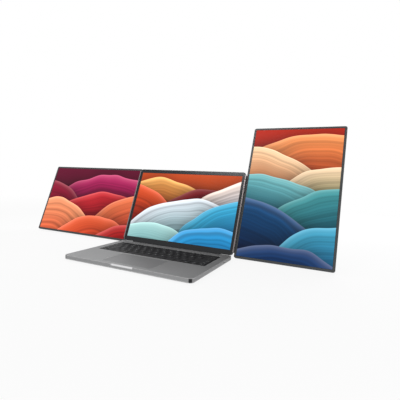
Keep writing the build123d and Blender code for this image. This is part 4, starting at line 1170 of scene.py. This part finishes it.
FUNCTION_NAMES = [word("F%d" % number, 0.5, 0.5)[0] for number in range(1, 13)]
ARROWS = {
    "left": (180.0, (0.5, 0.5)),
    "right": (0.0, (0.5, 0.5)),
    "up": (90.0, (0.5, 0.72)),
    "down": (270.0, (0.5, 0.28)),
}
KEY_ROWS = {
    "function_keys": word("esc", 0.4, 0.5) + FUNCTION_NAMES + BLANK,
    "number_keys": pairs("~!@#$%^&*()_+", "`1234567890-=") + word("delete", 0.76),
    "upper_letter_keys": word("tab", 0.28) + letters("QWERTYUIOP") + pairs("{}|", "[]\\"),
    "home_letter_keys": word("caps lock", 0.38) + letters("ASDFGHJKL") + pairs(":\"", ";'")
    + word("return", 0.8),
    "lower_letter_keys": word("shift", 0.2) + letters("ZXCVBNM") + pairs("<>?", ",./")
    + word("shift", 0.84),
    "bottom_row_keys": word("fn", 0.28) + word("ctrl", 0.32) + word("alt", 0.28) + BLANK + BLANK
    + word("alt", 0.72) + [["left"], ["up", "down"], ["right"]],
    "space_bar": BLANK,
}
print("legends", {row: len(legends) for row, legends in KEY_ROWS.items()})

# %% Rows of keys
CAP_SHARP_FROM = 40.0


def built_mesh(shape, name, sharp_from, *finish_names):
    """Closes a built shape: faces turned outwards, walls smooth, finishes in their order."""
    bmesh.ops.recalc_face_normals(shape, faces=shape.faces)
    mesh = smooth_walls(mesh_of(shape, name), sharp_from)
    for finish_name in finish_names:
        mesh.materials.append(finishes[finish_name])
    return mesh


def make_key_row(node_name, legends):
    """The keycaps of one row with their legends, in place of the CAD row."""
    shape = bmesh.new()
    boxes = islands(node_name)
    for low, high in boxes:
        add_keycap(shape, low, high)
    for (low, high), marks in zip(boxes, legends):
        for mark in marks:
            if mark in ARROWS:
                add_arrow(shape, low, high, *ARROWS[mark])
            else:
                add_legend(shape, low, high, *mark)
    mesh = built_mesh(shape, node_name + "_caps", CAP_SHARP_FROM, "key_black", "legend_white")
    finish_mesh(node_name + "_caps", mesh, body_of_node(node_name), "key_black", node_name)
    print(node_name, "keys", len(boxes), "faces", len(mesh.polygons))


for node_name, legends in KEY_ROWS.items():
    make_key_row(node_name, legends)

# %% [markdown]
# ## Rubber feet
# A real foot is a moulded rubber button: its rim is rounded and a shallow ring runs round its flat. It could
# be bevelled out of a cylinder, but a lathe gives the ring too: it turns a profile about an upright line.

# %% Feet
LATHE_STEPS = 40
FOOT_SHARP_FROM = 50.0
FOOT_PROFILE = (
    (2.0, 0.15), (2.9, 0.15), (3.1, 0.0), (4.9, 0.0), (5.45, 0.12), (5.8, 0.4), (5.92, 0.8), (5.92, 1.75),
)


def add_lathe(shape, x, y, low, profile):
    """Turns a profile of (radius, height) pairs, in millimetres, about an upright line."""
    turns = [math.tau * step / LATHE_STEPS for step in range(LATHE_STEPS)]
    rings = []
    for radius, height in profile:
        reach, z = radius * MM, low + height * MM
        rings.append([(x + reach * math.cos(turn), y + reach * math.sin(turn), z) for turn in turns])
    loft(shape, rings)


def make_feet():
    """The rubber feet, turned to the profile, and how many there are."""
    shape = bmesh.new()
    boxes = islands("rubber_feet")
    for low, high in boxes:
        middle = middle_of(low, high)
        add_lathe(shape, middle.x, middle.y, low.z, FOOT_PROFILE)
    mesh = built_mesh(shape, "rubber_feet_turned", FOOT_SHARP_FROM, "rubber")
    finish_mesh("rubber_feet_turned", mesh, "base", "rubber", "rubber_feet")
    return len(boxes)


print("feet", make_feet())

# %% [markdown]
# ## Floor and sky
# The photograph is a cut-out on white. The floor here is a pale plane that still takes the object's shadow:
# part of what the camera sees of it is its own lit white and part a steady white, and further off it is all
# steady white, so that it runs into the sky without a line. More light would also whiten the floor, but it
# would bleach the object. The sky is steady white for the camera, for reflections and through glass, and a
# softer white when it only lights the object.

# %% Floor
FLOOR_HALF = 30.0
FLOOR_CELLS = 12
FLOOR_COLOUR = (0.93, 0.93, 0.93, 1.0)
STEADY_NEAR = 0.85
NEAR_REACH = 0.5
FAR_REACH = 2.2


def seen_share(tree):
    """1 for rays of the camera, of reflections and through glass, 0 for rays that only light."""
    rays = add_node(tree, "ShaderNodeLightPath").outputs
    seen = maths(tree, "ADD", rays["Is Camera Ray"], rays["Is Glossy Ray"])
    return maths(tree, "ADD", seen, rays["Is Transmission Ray"], clamp=True)


def end_mix(tree, output, share, first, second):
    """Ends a tree with a mix of two shader nodes in the named kind of output."""
    shaders = {0: share, 1: first.outputs[0], 2: second.outputs[0]}
    mixed = add_node(tree, "ShaderNodeMixShader", shaders).outputs[0]
    add_node(tree, output, {"Surface": mixed})


def make_floor():
    shape = bmesh.new()
    bmesh.ops.create_grid(shape, x_segments=FLOOR_CELLS, y_segments=FLOOR_CELLS, size=FLOOR_HALF)
    floor = placed("floor", mesh_of(shape, "floor"))
    material = bpy.data.materials.new("floor_white")
    tree = empty_tree(material)
    lit = add_node(tree, "ShaderNodeBsdfDiffuse", {"Color": FLOOR_COLOUR})
    steady = add_node(tree, "ShaderNodeEmission", {"Color": WHITE, "Strength": 1.0})
    distance = vector_maths(tree, "LENGTH", {0: object_place(tree)}, "Value")
    steady_share = smooth_range(tree, distance, NEAR_REACH, FAR_REACH, STEADY_NEAR, 1.0)
    share = maths(tree, "MULTIPLY", seen_share(tree), steady_share)
    end_mix(tree, "ShaderNodeOutputMaterial", share, lit, steady)
    floor.data.materials.append(material)


make_floor()
print("floor", 2 * FLOOR_HALF, "m wide")

# %% Sky
SKY_LIGHT = 0.62


def make_sky():
    world = bpy.data.worlds.new("studio")
    bpy.context.scene.world = world
    tree = empty_tree(world)
    soft = add_node(tree, "ShaderNodeBackground", {"Color": WHITE, "Strength": SKY_LIGHT})
    steady = add_node(tree, "ShaderNodeBackground", {"Color": WHITE, "Strength": 1.0})
    end_mix(tree, "ShaderNodeOutputWorld", seen_share(tree), soft, steady)


make_sky()
print("sky light", SKY_LIGHT)

# %% [markdown]
# ## Soft lamps
# Four soft lamps shape the metal. A small key lamp stands high over the left monitor, as the deck is brightest
# on its left. A wide fill in front keeps the near edges pale, and a wide lamp behind draws the rims.
# The fourth is a long strip with a narrow beam: it stands where the glossy bar over the lid's screen mirrors
# it, so that the bar turns from near black on the left to grey on the right, as it does in the photograph.

# %% Lamps
OBJECT_MIDDLE = (0.0, 0.0, 0.12)
WIDE = (1.3, 0.9)


def make_lamp(name, place, aim, size, power, spread=180.0):
    """A soft lamp of the given width and height in metres, in watts, with its beam's full angle."""
    data = bpy.data.lights.new(name, "AREA")
    data.shape = "RECTANGLE"
    data.size, data.size_y = size
    data.energy = power
    data.spread = math.radians(spread)
    lamp = placed(name, data)
    turn = (Vector(aim) - Vector(place)).to_track_quat("-Z", "Y").to_matrix().to_4x4()
    lamp.matrix_world = Matrix.Translation(place) @ turn
    lamp.visible_camera = False


make_lamp("key_lamp", (-0.42, 0.2, 0.6), (-0.05, -0.05, 0.0), (0.4, 0.28), 0.95)
make_lamp("strip_lamp", (0.0, -0.313, 0.72), (0.05, 0.3, 0.35), (0.5, 0.12), 0.5, spread=70.0)
make_lamp("fill_lamp", (1.0, -1.9, 0.6), OBJECT_MIDDLE, WIDE, 13.0)
make_lamp("back_lamp", (0.5, 1.5, 0.9), OBJECT_MIDDLE, WIDE, 12.0)
bpy.context.scene.view_settings.view_transform = "Standard"
print("lamps", len(bpy.data.lights))
